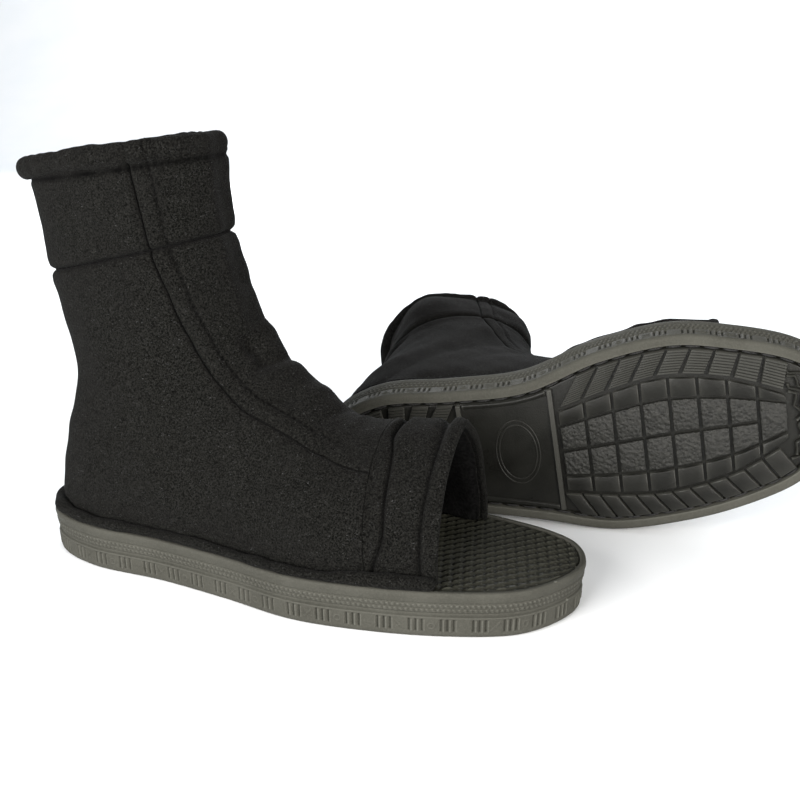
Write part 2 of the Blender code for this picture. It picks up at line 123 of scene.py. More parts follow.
# Folds as ((row, column), (row, column), width, depth); a negative depth stands out.
RIGHT_FOLDS = (
    ((6.2, -0.34), (4.35, -0.24), 3.0, 5.0),
    ((4.6, -0.55), (4.1, 0.25), 2.0, 2.4),
    ((4.15, -0.85), (3.6, 0.35), 5.0, -2.6),
    ((3.5, -0.62), (3.1, -0.25), 3.6, 1.9),
    ((3.0, -0.35), (2.75, 0.35), 3.0, -1.4),
    ((2.5, -0.55), (2.15, 0.3), 2.4, 1.2),
    ((1.9, -0.5), (1.6, 0.3), 2.6, -0.7),
    ((5.6, -0.8), (5.2, -0.4), 2.6, 1.0),
    ((9.4, -0.4), (8.4, 0.4), 3.5, 0.8),
    ((6.5, 0.2), (5.6, 0.9), 3.5, 1.6),
    ((5.0, 0.5), (3.6, 1.3), 4.5, 1.2),
    ((8.6, -1.55), (8.0, -1.2), 5.0, 0.6),
    ((8.4, 1.25), (7.8, 1.6), 5.0, 1.0),
    ((0.66, -1.05), (0.42, -1.3), 2.2, 0.8),
    ((0.62, -1.45), (0.35, -1.3), 2.2, 0.7),
    ((0.6, -0.5), (0.4, -0.75), 2.4, 0.7),
    ((0.95, -1.1), (0.8, -1.4), 2.4, 0.6),
)
# Fuller and tighter places as (row, column, row span, column span, height).
RIGHT_BULGES = (
    (1.2, 0, 2.0, 0.55, 3.6),
    (0.0, 1.35, 1.1, 0.35, -3.4),
    (4.1, 0, 1.2, 0.5, 2.0),
    (7.4, 0, 1.0, 0.45, 0.4),
    (5.5, 0.14, 1.2, 0.24, 4.8),
    (11.3, 0, 1.8, 0.7, -1.9),
    (10.0, -2, 1.7, 0.4, -2.0),
    (10.0, 2, 1.7, 0.4, -2.0),
    (13.2, -2, 0.9, 0.4, -1.6),
    (13.2, 2, 0.9, 0.4, -1.6),
)
LEFT_FOLDS = (
    ((6.8, -0.3), (5.2, 0.3), 4.0, 2.0),
    ((4.8, -0.5), (4.2, 0.6), 3.5, -1.4),
    ((3.7, -0.5), (3.2, 0.5), 3.2, 1.5),
    ((11.75, 1.5), (11.2, 1.85), 3.0, 2.0),
    ((10.6, 1.1), (9.0, 1.5), 6.0, 0.7),
    ((2.5, -0.55), (2.1, 0.4), 2.6, 1.0),
    ((8.6, -1.55), (8.0, -1.2), 5.0, 0.8),
)
LEFT_BULGES = (
    (1.2, 0, 2.0, 0.55, 2.0),
    (0.4, 1.2, 0.8, 0.5, -3.0),
    (2.6, 1.35, 1.9, 0.55, -4.5),
    (13.4, 1.34, 1.4, 0.19, 6.4),
    (13.2, 0.35, 1.2, 0.3, 4.0),
    (13.8, 2.0, 1.3, 0.4, -5.0),
    (13.8, -2.0, 1.3, 0.4, -5.0),
    (9.2, 2.0, 2.0, 0.5, 7.5),
    (9.2, -2.0, 2.0, 0.5, 7.5),
    (7.4, 0, 1.3, 0.45, 1.0),
)
LEFT_LIE = (-88.5, -9.2, 9.0)
MOUNT_AT = 170.0  # both sole mounts are this far from the heel, on the centre line

# ---- Camera ----

CAMERA_TARGET = (169.9, 0.0, 84.4)  # in the right boot's form
CAMERA_AZIMUTH, CAMERA_ELEVATION, CAMERA_ROLL = 19.46, 16.71, 0.29
CAMERA_DISTANCE, CAMERA_LENS = 502.5, 54.0


# ---- Curves, splines and small maths ----


def spline_at(values, position):
    """Catmull-Rom curve through the rows of values, read at fractional row positions."""
    values, position = np.asarray(values, float), np.atleast_1d(position)
    padded = np.vstack([2 * values[0] - values[1], values, 2 * values[-1] - values[-2]])
    row = np.clip(np.floor(position).astype(int), 0, len(values) - 2)
    t = (position - row)[:, None]
    before, start, end, after = (padded[row + i] for i in range(4))
    return 0.5 * (
        2 * start
        + (end - before) * t
        + (2 * before - 5 * start + 4 * end - after) * t**2
        + (3 * start - before - 3 * end + after) * t**3
    )


def unit(vectors):
    return vectors / np.maximum(np.linalg.norm(vectors, axis=-1, keepdims=True), 1e-9)


def bell(distance, width):
    return np.exp(-((distance / width) ** 2))


def step(values, low, high):
    """Smooth rise from 0 at low to 1 at high."""
    t = np.clip((values - low) / (high - low), 0, 1)
    return t * t * (3 - 2 * t)


def band(values, low, high, soft):
    """1 between low and high, falling to 0 over a soft edge."""
    return step(values, low - soft, low + soft) * (1 - step(values, high - soft, high + soft))


def dashes(along, pitch, share):
    """1 on each stitch, dipping by twice the share between them."""
    return 1 - share + share * np.cos(along * (2 * math.pi / pitch))


def waves(points, seed, length, count=7):
    """Smooth pseudo-random field between about -1 and 1, as a sum of plane waves of about that length."""
    rng = np.random.default_rng(seed)
    total = np.zeros(points.shape[:-1])
    for _ in range(count):
        direction = unit(rng.normal(size=points.shape[-1]))
        size = length * rng.uniform(0.7, 1.5)
        total += np.sin(points @ direction * 2 * math.pi / size + rng.uniform(0, 2 * math.pi))
    return total / math.sqrt(count)


def nearest(values, wanted):
    """The index of the value closest to the one wanted."""
    return int(np.argmin(np.abs(values - wanted)))


def index_at(values, wanted):
    """Where the wanted values lie among rising ones, as fractional indices."""
    return np.interp(wanted, values, np.arange(len(values)))


def lengths(line):
    """How far along a line each of its points is."""
    return np.r_[0, np.cumsum(np.linalg.norm(np.diff(line, axis=0), axis=1))]


def along_line(line, scale, wanted):
    """Points of a line at the wanted places on a scale that gives a value to each of its points."""
    return np.column_stack([np.interp(wanted, scale, values) for values in line.T])


def evenly(points, count):
    """A closed line through points, cut into count equal steps."""
    loop = np.vstack([points, points[:1]])
    along = lengths(loop)
    return along_line(loop, along, np.linspace(0, along[-1], count, endpoint=False))


def inwards_of(outline):
    """Unit vectors that point into a closed outline, one for each of its points."""
    ahead = unit(np.roll(outline, -1, axis=0) - np.roll(outline, 1, axis=0))
    return np.column_stack([-ahead[:, 1], ahead[:, 0]])


def at_height(flat, height):
    """Flat points lifted to a height, or to one each."""
    return np.column_stack([flat, np.broadcast_to(height, len(flat))])


def sole_outline(count=1440, inset=0.0):
    """The sole from above, starting at the heel and running up the lateral side; inset moves it inwards."""
    lateral = [(x, -width) for x, width, _ in SOLE_STATIONS]
    medial = [(x, width) for x, _, width in reversed(SOLE_STATIONS)]
    corners = np.array([(0, 0), *lateral, (SOLE_LENGTH, TOE_TIP_SIDE), *medial], float)
    wrapped = np.vstack([corners[-2:], corners, corners[:3]])
    dense = spline_at(wrapped, np.linspace(2, 2 + len(corners), 60 * len(corners), endpoint=False))
    line = evenly(dense, count)
    return line + inwards_of(line) * inset


BASE_LINE = sole_outline(inset=BASE_INSET)


def half_width(line, x, side):
    """How far a closed outline reaches to one side of the centre line; side is -1 lateral, 1 medial."""
    part = line[line[:, 1] * side > 0]
    part = part[np.argsort(part[:, 0])]
    return np.interp(x, part[:, 0], np.abs(part[:, 1]))


# ---- The upper's surface ----


def smooth_surface(sections, rows, columns, lift=0.0):
    """Points of the upper's outer surface. A row is a section position. A column is 0 at the front ridge,
    1 near the front panel's seam and 2 at the sole's edge or the back seam, below 0 on the lateral side."""
    rows, columns = np.asarray(rows, float), np.asarray(columns, float)
    section = spline_at(sections, rows)[:, None, :]
    ridge_x, ridge_z, end_x, end_z, lateral, medial, seam, full_lateral, full_medial = (
        section[..., i] for i in range(9)
    )
    foot_row = rows[:, None] < HEEL
    end_x = np.where(foot_row, np.maximum(end_x, BASE_INSET), end_x)
    end_z = np.where(foot_row, BASE_Z, np.maximum(end_z, BASE_Z))
    side = np.where(columns < 0, -1, 1)[None, :]
    widest = np.where(side < 0, lateral, medial)
    fullness = np.where(side < 0, full_lateral, full_medial)
    foot = np.where(side < 0, half_width(BASE_LINE, end_x, -1), half_width(BASE_LINE, end_x, 1))
    foot = np.where(foot_row, foot * step(end_x, BASE_INSET - 0.01, BASE_INSET + 0.05), 0.0)
    last = math.pi - np.arcsin(np.clip(foot / widest, 0, 1) ** (1 / fullness))
    reach = 1 - np.cos(last)
    at_seam = np.arccos(1 - seam * reach)
    stop_share = np.clip(1 - (BASE_Z + lift - end_z) / (ridge_z - end_z), 0, 1)
    stop = np.arccos(np.clip(1 - stop_share * reach, -1, 1))
    out = np.abs(columns)[None, :]
    angle = np.where(out <= 1, out * at_seam, at_seam + (out - 1) * (stop - at_seam))
    share = (1 - np.cos(angle)) / reach
    x = ridge_x + (end_x - ridge_x) * share
    y = side * widest * np.clip(np.sin(angle), 0, 1) ** fullness
    z = ridge_z + (end_z - ridge_z) * share
    return np.stack([x, y, z], axis=-1)


def grid_normals(points):
    """Outward unit normals of a grid whose rows run from the toe up the leg, and columns from lateral to
    medial."""
    along_rows = np.gradient(points, axis=0)
    along_columns = np.gradient(points, axis=1)
    return unit(np.cross(along_columns, along_rows))


def add_object(name, data):
    """A new object in the scene."""
    item = bpy.data.objects.new(name, data)
    bpy.context.scene.collection.objects.link(item)
    return item


def arc_lengths(points, axis):
    steps = np.linalg.norm(np.diff(points, axis=axis), axis=-1)
    pad = [(0, 0), (0, 0)]
    pad[axis] = (1, 0)
    return np.cumsum(np.pad(steps, pad), axis=axis)


def simulate_cloth(start, held):
    """Blows a grid of points in millimetres out as cloth, its held places pinned, and returns the points
    of the last frame. Nothing of the simulation is left in the scene."""
    scene = bpy.context.scene
    mesh = bpy.data.meshes.new("cloth_trial")
    mesh.from_pydata((start.reshape(-1, 3) * MM).tolist(), [], grid_faces(*start.shape[:2]))
    trial = add_object("cloth_trial", mesh)
    pins = trial.vertex_groups.new(name="held")
    for index, weight in enumerate(held.ravel()):
        pins.add([index], float(weight), "REPLACE")
    cloth = trial.modifiers.new("settle", "CLOTH")
    cloth.settings.quality = 6
    cloth.settings.mass = 0.3
    cloth.settings.bending_stiffness = 1.5
    cloth.settings.vertex_group_mass = "held"
    cloth.settings.use_pressure = True
    cloth.settings.uniform_pressure_force = 4.0
    cloth.settings.effector_weights.gravity = 0.0
    cloth.point_cache.frame_start = 1
    cloth.point_cache.frame_end = SIMULATED_FRAMES
    for frame in range(1, SIMULATED_FRAMES + 1):
        scene.frame_set(frame)
    settled = trial.evaluated_get(bpy.context.evaluated_depsgraph_get()).to_mesh()
    flat = np.empty(start.size)
    settled.vertices.foreach_get("co", flat)
    bpy.data.objects.remove(trial)
    bpy.data.meshes.remove(mesh)
    scene.frame_set(1)
    return flat.reshape(start.shape) / MM


def seam_column(rows):
    """How far round each front seam really lies, row by row."""
    return np.interp(rows, (0, 1, 2, 3, 4, 12, 14), (0.85, 0.84, 0.79, 0.89, 0.94, 0.96, 1.0))


class Upper:
    """One boot's upper: a dense grid of points on the creased outer surface, read at any row and column."""

    def __init__(self, sections, seed, folds, bulges):
        self.sections = sections
        self.seed = seed
        self.folds = folds
        self.bulges = bulges
        self.rows = np.r_[np.arange(0, 1.6, 0.02), np.arange(1.6, len(sections) - 1 + 1e-6, 0.05)]
        half = np.r_[np.linspace(0, 0.6, 17), np.linspace(0.6, 1.04, 41)[1:], np.linspace(1.04, 2, 27)[1:]]
        self.columns = np.r_[-half[:0:-1], half]
        self.points = smooth_surface(sections, self.rows, self.columns)
        self.normals = grid_normals(self.points)
        self.steady = self.normals  # before any crease
        self.across = arc_lengths(self.points, 1)
        self.up = arc_lengths(self.points, 0)
        self.row_length = self.up[nearest(self.rows, BAND_SEAM)][None, :]
        self.points = self.points + self.normals * (self.relief() + self.puffed())[..., None]
        self.normals = grid_normals(self.points)

    def puffed(self):
        """How far the stuffed panels puff out between their seams, in millimetres: a coarse copy of the
        upper is held at its seams and edges, blown out as cloth for a few frames, and read back."""
        rows, columns = np.linspace(0, len(self.sections) - 1, 46), np.linspace(-2, 2, 65)
        start = smooth_surface(self.sections, rows, columns)
        held = np.zeros(start.shape[:2])
        seam = seam_column(rows)[:, None]
        held[np.abs(np.abs(columns)[None, :] - seam) < 0.04] = SEAM_HOLD
        for row in (BAND_SEAM, CUFF_SEAM, HEM_SEAM):
            held[nearest(rows, row)] = SEAM_HOLD
        held[0] = held[-1] = held[:, 0] = held[:, -1] = 1.0
        moved = simulate_cloth(start, held)
        out = np.sum((moved - start) * grid_normals(start), axis=-1)
        out = PUFF_CAP * np.tanh(out / PUFF_CAP)
        out -= out.mean()
        fine = spline_at(out, index_at(rows, self.rows))
        return spline_at(fine.T, index_at(columns, self.columns)).T

    def ridge_distance(self):
        """Distance round the surface from the front ridge, positive towards the medial side."""
        index = nearest(self.columns, 0)
        return self.across - self.across[:, index : index + 1]

    def row_distance(self, row):
        """Distance up the surface from a row."""
        index = nearest(self.rows, row)
        return self.up - self.up[index : index + 1]

    def crease(self, start, end, width, depth):
        """A fold line between two (row, column) places; a negative depth makes it a ridge."""
        steps = np.linspace(0, 1, 24)[:, None]
        path = np.array(start) + (np.array(end) - np.array(start)) * steps
        places = [(nearest(self.rows, row), nearest(self.columns, column)) for row, column in path]
        line = np.array([self.points[place] for place in places])
        gap = self.points[:, :, None, :] - line[None, None, :, :]
        distance = np.linalg.norm(gap, axis=-1)
        closest = distance.argmin(axis=-1)
        taper = np.sin(math.pi * (closest + 0.5) / len(line)) ** 0.6
        return -depth * bell(distance.min(axis=-1), width) * taper

    def relief(self):
        """How far the cloth stands in or out from the smooth surface, in millimetres. It also notes in
        self.sunk how deep in a seam or a stitch each place is, from 0 to 1, where the cloth gets painted
        shade."""
        rows, columns = self.rows[:, None], self.columns[None, :]
        total = 0.4 * waves(self.points, self.seed, 42) + 0.2 * waves(self.points, self.seed + 1, 17)
        self.sunk = np.zeros_like(total)
        total = self.with_seams(total, rows)
        total = self.with_topstitching(total, rows)
        total = self.with_toe_band(total, rows, columns)
        # The front of the leg is pressed into a narrow flat face with a sharp edge.
        leg = step(rows, 4.3, 5.6)
        ridge = self.ridge_distance()
        total += leg * (0.6 * bell(ridge + LEG_EDGE, 3.5) + 0.35 * bell(ridge + LEG_EDGE + 0.3, 1.6))
        total += leg * (0.8 * bell(ridge - LEG_EDGE, 3.0) - 0.8 * bell(ridge, 4.5))
        for row, column, row_span, column_span, height in self.bulges:
            total += height * bell(rows - row, row_span) * bell(columns - column, column_span)
        for start, end, width, depth in self.folds:
            total += self.crease(start, end, width, depth)
        return total

    def sink(self, share):
        self.sunk = np.maximum(self.sunk, share)

    def with_seams(self, total, rows):
        """Seams pull the cloth in, and it puffs up beside them."""
        shown = step(rows, 0.95, 1.05)
        for column in (-1, 1):
            distance = np.abs(self.seam_distance(column))
            total += (0.35 * bell(distance - 4.0, 2.6) - 0.75 * bell(distance, 0.8)) * shown
            self.sink(0.85 * bell(distance, 0.4) * shown)
        cuff = np.abs(self.row_distance(CUFF_SEAM))
        total += 0.5 * bell(cuff - 5, 3.5) - 1.8 * bell(cuff, 1.1)
        self.sink(bell(cuff, 0.75) * dashes(self.across, CROSS_PITCH, 0.2))
        hem = self.row_distance(HEM_SEAM)
        total -= 0.9 * bell(hem, 1.2)
        self.sink(bell(hem, 1.3) * dashes(self.across, CROSS_PITCH, 0.25))
        return total

    def with_topstitching(self, total, rows):
        """A row of stitches runs in front of each front seam."""
        for column, towards_front in ((-1, 1), (1, -1)):
            distance = self.seam_distance(column) * towards_front - TOPSTITCH
            dash = dashes(self.up, TOPSTITCH_PITCH, 0.3)
            line = bell(distance, 0.7) * dash
            beside = bell(np.abs(distance) - 2.5, 1.6)
            total += (0.25 * beside - 0.7 * line) * step(rows, 1.6, 2.8)
            self.sink(bell(distance, 0.55) * dash * step(rows, 1.6, 2.4))
        return total

    def with_toe_band(self, total, rows, columns):
        """A puffed hem round the opening, a panel, and a strip behind its own seam."""
        for line, width, depth in (
            (self.hem_line(columns), 1.1, 1.2),
            (self.band_line(columns), 0.9, 1.7),
        ):
            distance = (rows - line) * self.row_length
            on_top = bell(columns, 0.42)
            total -= depth * (1 + 0.5 * on_top) * bell(distance, width * (1 + 0.7 * on_top))
            total += (0.35 + 0.5 * on_top) * bell(np.abs(distance) - 4, 2.5)
            self.sink(bell(distance, 0.65) * dashes(self.across, BAND_PITCH, 0.15))
        total += 0.8 * bell((rows - 0.12) * self.row_length, 3.5)
        total += 1.3 * bell(columns, 0.5) * bell((rows - 0.54) * self.row_length, 5.5)
        past_band = (rows - BAND_SEAM) * self.row_length
        roll = 0.7 * bell(past_band - 1.5, 2.2) - 0.5 * bell(past_band + 2.0, 1.6)
        total += roll * step(np.abs(columns), 0.6, 0.85)
        return total

    def seam_distance(self, column):
        """Distance along the surface from a front seam, which wanders a little from its column."""
        place = np.sign(column) * seam_column(self.rows)
        at = np.array([np.interp(c, self.columns, line) for c, line in zip(place, self.across)])
        return self.across - at[:, None]

    @staticmethod
    def band_line(columns):
        """The row of the toe band's rear seam: straight, swinging back at its lower ends."""
        out = np.abs(columns)
        return 0.74 + 0.10 * bell(out - 0.25, 0.25) + 0.19 * step(out, 1.45, 2.0)

    @staticmethod
    def hem_line(columns):
        """The row of the stitches that hold the toe opening's hem."""
        return 0.24 + 0.02 * np.sin(3 * columns)

    def packed(self):
        return np.concatenate([self.points, self.normals, self.sunk[..., None], self.steady], axis=-1)

    def at(self, rows, columns):
        """Points and normals at pairs of row and column."""
        row_at, column_at = index_at(self.rows, rows), index_at(self.columns, columns)
        i, j = np.floor(row_at).astype(int), np.floor(column_at).astype(int)
        i, j = np.minimum(i, len(self.rows) - 2), np.minimum(j, len(self.columns) - 2)
        u, v = (row_at - i)[:, None], (column_at - j)[:, None]
        packed = self.packed()
        low = packed[i, j] * (1 - v) + packed[i, j + 1] * v
        high = packed[i + 1, j] * (1 - v) + packed[i + 1, j + 1] * v
        done = low * (1 - u) + high * u
        return done[:, :3], unit(done[:, 3:6])

    def read(self, rows, columns, steady=False):
        """Points, normals and sunk shares at the given rows and columns, by smooth interpolation. Column 1
        is the front seam, wherever that lies. Steady normals leave the creases out."""
        seam = seam_column(np.asarray(rows, float))[:, None]
        out = np.abs(np.asarray(columns, float))[None, :]
        placed = np.sign(columns) * np.where(out <= 1, out * seam, seam + (out - 1) * (2 - seam))
        column_at = index_at(self.columns, placed)
        flat = spline_at(self.packed().reshape(len(self.rows), -1), index_at(self.rows, rows))
        block = flat.reshape(len(rows), len(self.columns), 10)
        done = np.stack([spline_at(line, at) for line, at in zip(block, column_at)])
        normals = done[..., 7:] if steady else done[..., 3:6]
        return done[..., :3], unit(normals), np.clip(done[..., 6], 0, 1)


# ---- Mesh building ----


class Boot:
    """Where one boot's millimetre shapes go, and which body they ride on."""

    def __init__(self, side, sections, seed, folds, bulges):
        self.side = side
        self.mirror = side == "left"
        self.body = side + "_boot"
        mount = next(m for m in frame["record"]["mounts"] if m["name"] == side + "_sole")
        turn = Matrix.Identity(3)
        if self.mirror:
            turn = Euler([math.radians(angle) for angle in LEFT_LIE], "XYZ").to_matrix()
        self.turn = np.array(turn)
        self.origin = np.array(mount["pos_m"]) - self.turn @ np.array([MOUNT_AT * MM, 0, 0])
        self.upper = Upper(sections, seed, folds, bulges)

    def place(self, points):
        points = np.asarray(points, float).reshape(-1, 3) * MM
        if self.mirror:
            points = points * (1, -1, 1)
        return points @ self.turn.T + self.origin

    def add(self, node, points, faces, material, name=None, sharp=None, replaces=True, shade=None):
        """Adds one piece of this boot from points in millimetres, named after the node unless a name is
        given, and hides the node's own part unless replaces is False. shade is how deep in a seam each
        point lies."""
        full = f"{self.side}_{name or node + '_fine'}"
        mesh = bpy.data.meshes.new(full)
        if self.mirror:
            faces = [tuple(face)[::-1] for face in faces]
        mesh.from_pydata(self.place(points).tolist(), [], [tuple(int(i) for i in face) for face in faces])
        if shade is not None:
            mesh.attributes.new("sunk", "FLOAT", "POINT").data.foreach_set("value", shade)
        clean(mesh)
        mesh.shade_smooth()
        if sharp:
            mesh.set_sharp_from_angle(angle=math.radians(sharp))
        mesh.materials.append(material)
        piece = add_object(full, mesh)
        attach(piece, self.body)
        if replaces:
            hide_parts(f"{self.side}_{node}")
        return piece


def clean(mesh):
    edit = bmesh.new()
    edit.from_mesh(mesh)
    bmesh.ops.remove_doubles(edit, verts=edit.verts, dist=1e-6)
    bmesh.ops.dissolve_degenerate(edit, edges=edit.edges, dist=1e-6)
    bmesh.ops.recalc_face_normals(edit, faces=edit.faces)
    edit.to_mesh(mesh)
    edit.free()


def grid_faces(rows, columns, wrap_rows=False, wrap_columns=False, start=0):
    i = np.arange(rows if wrap_rows else rows - 1)[:, None]
    j = np.arange(columns if wrap_columns else columns - 1)[None, :]
    below, beside = (i + 1) % rows, (j + 1) % columns
    corners = [i * columns + j, i * columns + beside, below * columns + beside, below * columns + j]
    return (np.stack(np.broadcast_arrays(*corners), axis=-1).reshape(-1, 4) + start).tolist()


def spread(low, high, spacing, edge_steps):
    """Positions from low to high at about this spacing, with extra ones close to each end."""
    count = max(2, int(round((high - low) / spacing)))
    inner = np.linspace(low, high, count + 1)
    extra = np.array(edge_steps)
    return np.unique(np.r_[inner, low + extra, high - extra])


def add_layer(boot, node, rows, columns, depth, thickness, material, soft=1.1):
    """A padded piece between surface rows and columns: two faces that meet in rounded edges.
    depth is how far its outer face lies below the cloth's outer surface. soft is how wide the rounding
    is, or three such widths: along the first row, along the last one and at the sides."""
    points, normals, sunk = boot.upper.read(rows, columns, steady=depth > 1)
    middle = points - normals * (depth + thickness / 2)
    across = arc_lengths(middle, 1)
    up = arc_lengths(middle, 0)
    first, last, sides = np.broadcast_to(soft, 3)
    full = np.minimum(up / first, (up[-1:] - up) / last)
    full = np.minimum(full, np.minimum(across, across[:, -1:] - across) / sides)
    roundness = np.sqrt(np.clip(1 - (1 - np.clip(full, 0, 1)) ** 2, 0, 1))
    half = normals * (thickness / 2 * roundness)[..., None]
    count = len(rows) * len(columns)
    faces = grid_faces(len(rows), len(columns))
    inner_faces = [face[::-1] for face in grid_faces(len(rows), len(columns), start=count)]
    everything = np.concatenate([(middle + half).reshape(-1, 3), (middle - half).reshape(-1, 3)])
    shade = np.r_[sunk.ravel() * (depth < 1), np.zeros(count)]
    return boot.add(node, everything, faces + inner_faces, material, shade=shade)


def sweep(path, ups, radii, sides=12, closed=False):
    """A tube along path. radii is (across, up) and ups the upward direction, for each point or for all."""
    path = np.asarray(path, float)
    ups = np.broadcast_to(np.asarray(ups, float), path.shape)
    if closed:
        along = np.roll(path, -1, axis=0) - np.roll(path, 1, axis=0)
    else:
        along = np.gradient(path, axis=0)
    along = unit(along)
    out = unit(np.cross(along, ups))
    ups = np.cross(out, along)
    turn = np.linspace(0, 2 * math.pi, sides, endpoint=False)
    radii = np.broadcast_to(np.asarray(radii, float), (len(path), 2))
    rings = (
        path[:, None]
        + out[:, None] * (np.cos(turn)[None, :] * radii[:, :1])[..., None]
        + ups[:, None] * (np.sin(turn)[None, :] * radii[:, 1:])[..., None]
    )
    faces = grid_faces(len(path), sides, wrap_rows=closed, wrap_columns=True)
    points = rings.reshape(-1, 3)
    if not closed:
        last = (len(path) - 1) * sides
        faces.append(list(range(sides))[::-1])
        faces.append([last + i for i in range(sides)])
    return points, faces


def joined(parts):
    """Several (points, faces) as one."""
    points, faces, start = [], [], 0
    for part_points, part_faces in parts:
        part_points = np.asarray(part_points).reshape(-1, 3)
        points.append(part_points)
        faces += [[corner + start for corner in face] for face in part_faces]
        start += len(part_points)
    return np.concatenate(points), faces


def stitches(line, lifts, length, space, radius):
    """Short rounded stitches along a line, each dipping into the cloth at its ends."""
    line = np.asarray(line)
    lifts = np.broadcast_to(lifts, line.shape)
    along = lengths(line)
    parts = []
    for start in np.arange(space / 2, along[-1] - length, length + space):
        at = start + np.linspace(0, length, 6)
        path, lift = along_line(line, along, at), unit(along_line(lifts, along, at))
        height = radius * (1.1 * np.sin(np.linspace(0, math.pi, 6)) - 0.6)
        size = radius * np.sin(np.linspace(0.35, math.pi - 0.35, 6)) ** 0.5
        parts.append(sweep(path + lift * height[:, None], lift, np.column_stack([size, size]), sides=6))
    return joined(parts)


# ---- Materials ----


class Shader:
    """A Principled material with a few node shortcuts. Coordinates are the object's own, in metres."""

    def __init__(self, name, **settings):
        self.material = bpy.data.materials.new(name)
        self.material.use_nodes = True
        self.nodes = self.material.node_tree.nodes
        self.links = self.material.node_tree.links
        self.shader = self.nodes["Principled BSDF"]
        self.where = self.nodes.new("ShaderNodeTexCoord").outputs["Object"]
        self.fill(self.shader, settings)

    def fill(self, node, settings):
        """Sets or links a node's sockets, whose names have underscores for spaces here."""
        for name, value in settings.items():
            socket = node.inputs[name.replace("_", " ")]
            if isinstance(value, bpy.types.NodeSocket):
                self.links.new(value, socket)
            else:
                socket.default_value = value

    def node(self, kind, **settings):
        node = self.nodes.new("ShaderNode" + kind)
        self.fill(node, settings)
        return node

    def noise(self, size, detail=4.0, roughness=0.6, distortion=0.0, stretch=None):
        """Noise whose features are about size metres across; stretch scales the three axes."""
        node = self.node(
            "TexNoise",
            Scale=1 / size,
            Detail=detail,
            Roughness=roughness,
            Distortion=distortion,
            Vector=self.stretched(stretch),
        )
        return node.outputs["Fac"]

    def stretched(self, stretch, turn=(0, 0, 0)):
        if stretch is None:
            return self.where
        return self.node("Mapping", Scale=stretch, Rotation=turn, Vector=self.where).outputs["Vector"]

    def cells(self, size, stretch=None, feature="F1"):
        node = self.node("TexVoronoi", Scale=1 / size, Vector=self.stretched(stretch))
        node.feature = feature
        return node.outputs["Distance"]

    def ribs(self, size, turn, distortion):
        place = self.stretched((1, 1, 1), turn)
        node = self.node("TexWave", Scale=0.314 / size, Distortion=distortion, Detail=2.0, Vector=place)
        return node.outputs["Fac"]

    def attribute(self, name):
        node = self.node("Attribute")
        node.attribute_name = name
        return node.outputs["Fac"]

    def edges(self, low, high):
        """Brighter on convex edges, darker in hollows."""
        return self.ramp(self.node("NewGeometry").outputs["Pointiness"], low, high)

    def ramp(self, value, low, high, to_low=0.0, to_high=1.0):
        ends = {"From Min": low, "From Max": high, "To Min": to_low, "To Max": to_high}
        node = self.node("MapRange", Value=value, **ends)
        node.interpolation_type = "SMOOTHSTEP"
        return node.outputs["Result"]

    def mix(self, factor, first, second):
        node = self.node("Mix", Factor=factor)
        node.data_type = "RGBA"
        slots = [s for s in node.inputs if s.type == "RGBA"]
        for socket, value in zip(slots, (first, second)):
            if isinstance(value, tuple):
                socket.default_value = (*value, 1.0)
            else:
                self.links.new(value, socket)
        return next(s for s in node.outputs if s.type == "RGBA")

    def colour(self, value):
        self.fill(self.shader, {"Base Color": value})

    def roughness(self, value):
        self.fill(self.shader, {"Roughness": value})

    def bump(self, height, distance, strength=1.0):
        """Adds a bump layer; distance is its height in metres."""
        node = self.node("Bump", Distance=distance, Strength=strength, Height=height)
        for old in self.shader.inputs["Normal"].links:
            self.fill(node, {"Normal": old.from_socket})
        self.fill(self.shader, {"Normal": node.outputs["Normal"]})


def knit_cloth():
    """Brushed black knit: a soft fibrous nap with a fine diagonal stitch under it and pale lint, darkened
    in its sunk seams and stitches.
    """
    cloth = Shader(
        "brushed_knit", Roughness=1.0, Specular_IOR_Level=0.03, Sheen_Weight=0.013, Sheen_Roughness=0.5
    )
    nap = cloth.noise(0.00065, detail=4, roughness=0.7, distortion=0.3)
    loops = cloth.cells(0.0009, stretch=(1, 1, 0.7))
    patches = cloth.noise(0.03, detail=2)
    tone = cloth.mix(cloth.ramp(nap, 0.38, 0.66), (0.0004, 0.0004, 0.0003), (0.0122, 0.0121, 0.0110))
    tone = cloth.mix(cloth.ramp(patches, 0.3, 0.75, 0, 0.2), tone, (0.0060, 0.0060, 0.0056))
    lint = cloth.ramp(cloth.noise(0.0016, detail=1, distortion=3.0, stretch=(1, 1, 2.5)), 0.715, 0.76)
    tone = cloth.mix(lint, tone, (0.06, 0.06, 0.062))
    # Painted shade: cloth sunk into seams and stitches is darkened to near black, standing partly for the
    # dark thread and partly for the shade in the seam grooves.
    cloth.colour(cloth.mix(cloth.attribute("sunk"), tone, (0.0004, 0.0004, 0.0004)))
    cloth.bump(nap, 0.0005, 0.9)
    cloth.bump(loops, 0.00025, 0.6)
    return cloth.material


def lining_cloth():
    cloth = Shader("lining_knit", Roughness=1.0, Specular_IOR_Level=0.03)
    rows = cloth.ribs(0.0012, turn=(0.5, 0.3, 0.8), distortion=1.5)
    nap = cloth.noise(0.0014, detail=3)
    cloth.colour(cloth.mix(cloth.ramp(nap, 0.3, 0.7), (0.002, 0.002, 0.002), (0.006, 0.006, 0.006)))
    cloth.bump(rows, 0.0001, 0.5)
    cloth.bump(nap, 0.0003, 0.5)
    return cloth.material


def foam_sheet():
    foam = Shader("collar_foam_fine", Roughness=0.95)
    pores = foam.cells(0.0008)
    foam.colour(foam.mix(foam.ramp(pores, 0.2, 0.7), (0.035, 0.035, 0.04), (0.09, 0.09, 0.1)))
    foam.bump(pores, 0.0004, 1.0)
    return foam.material


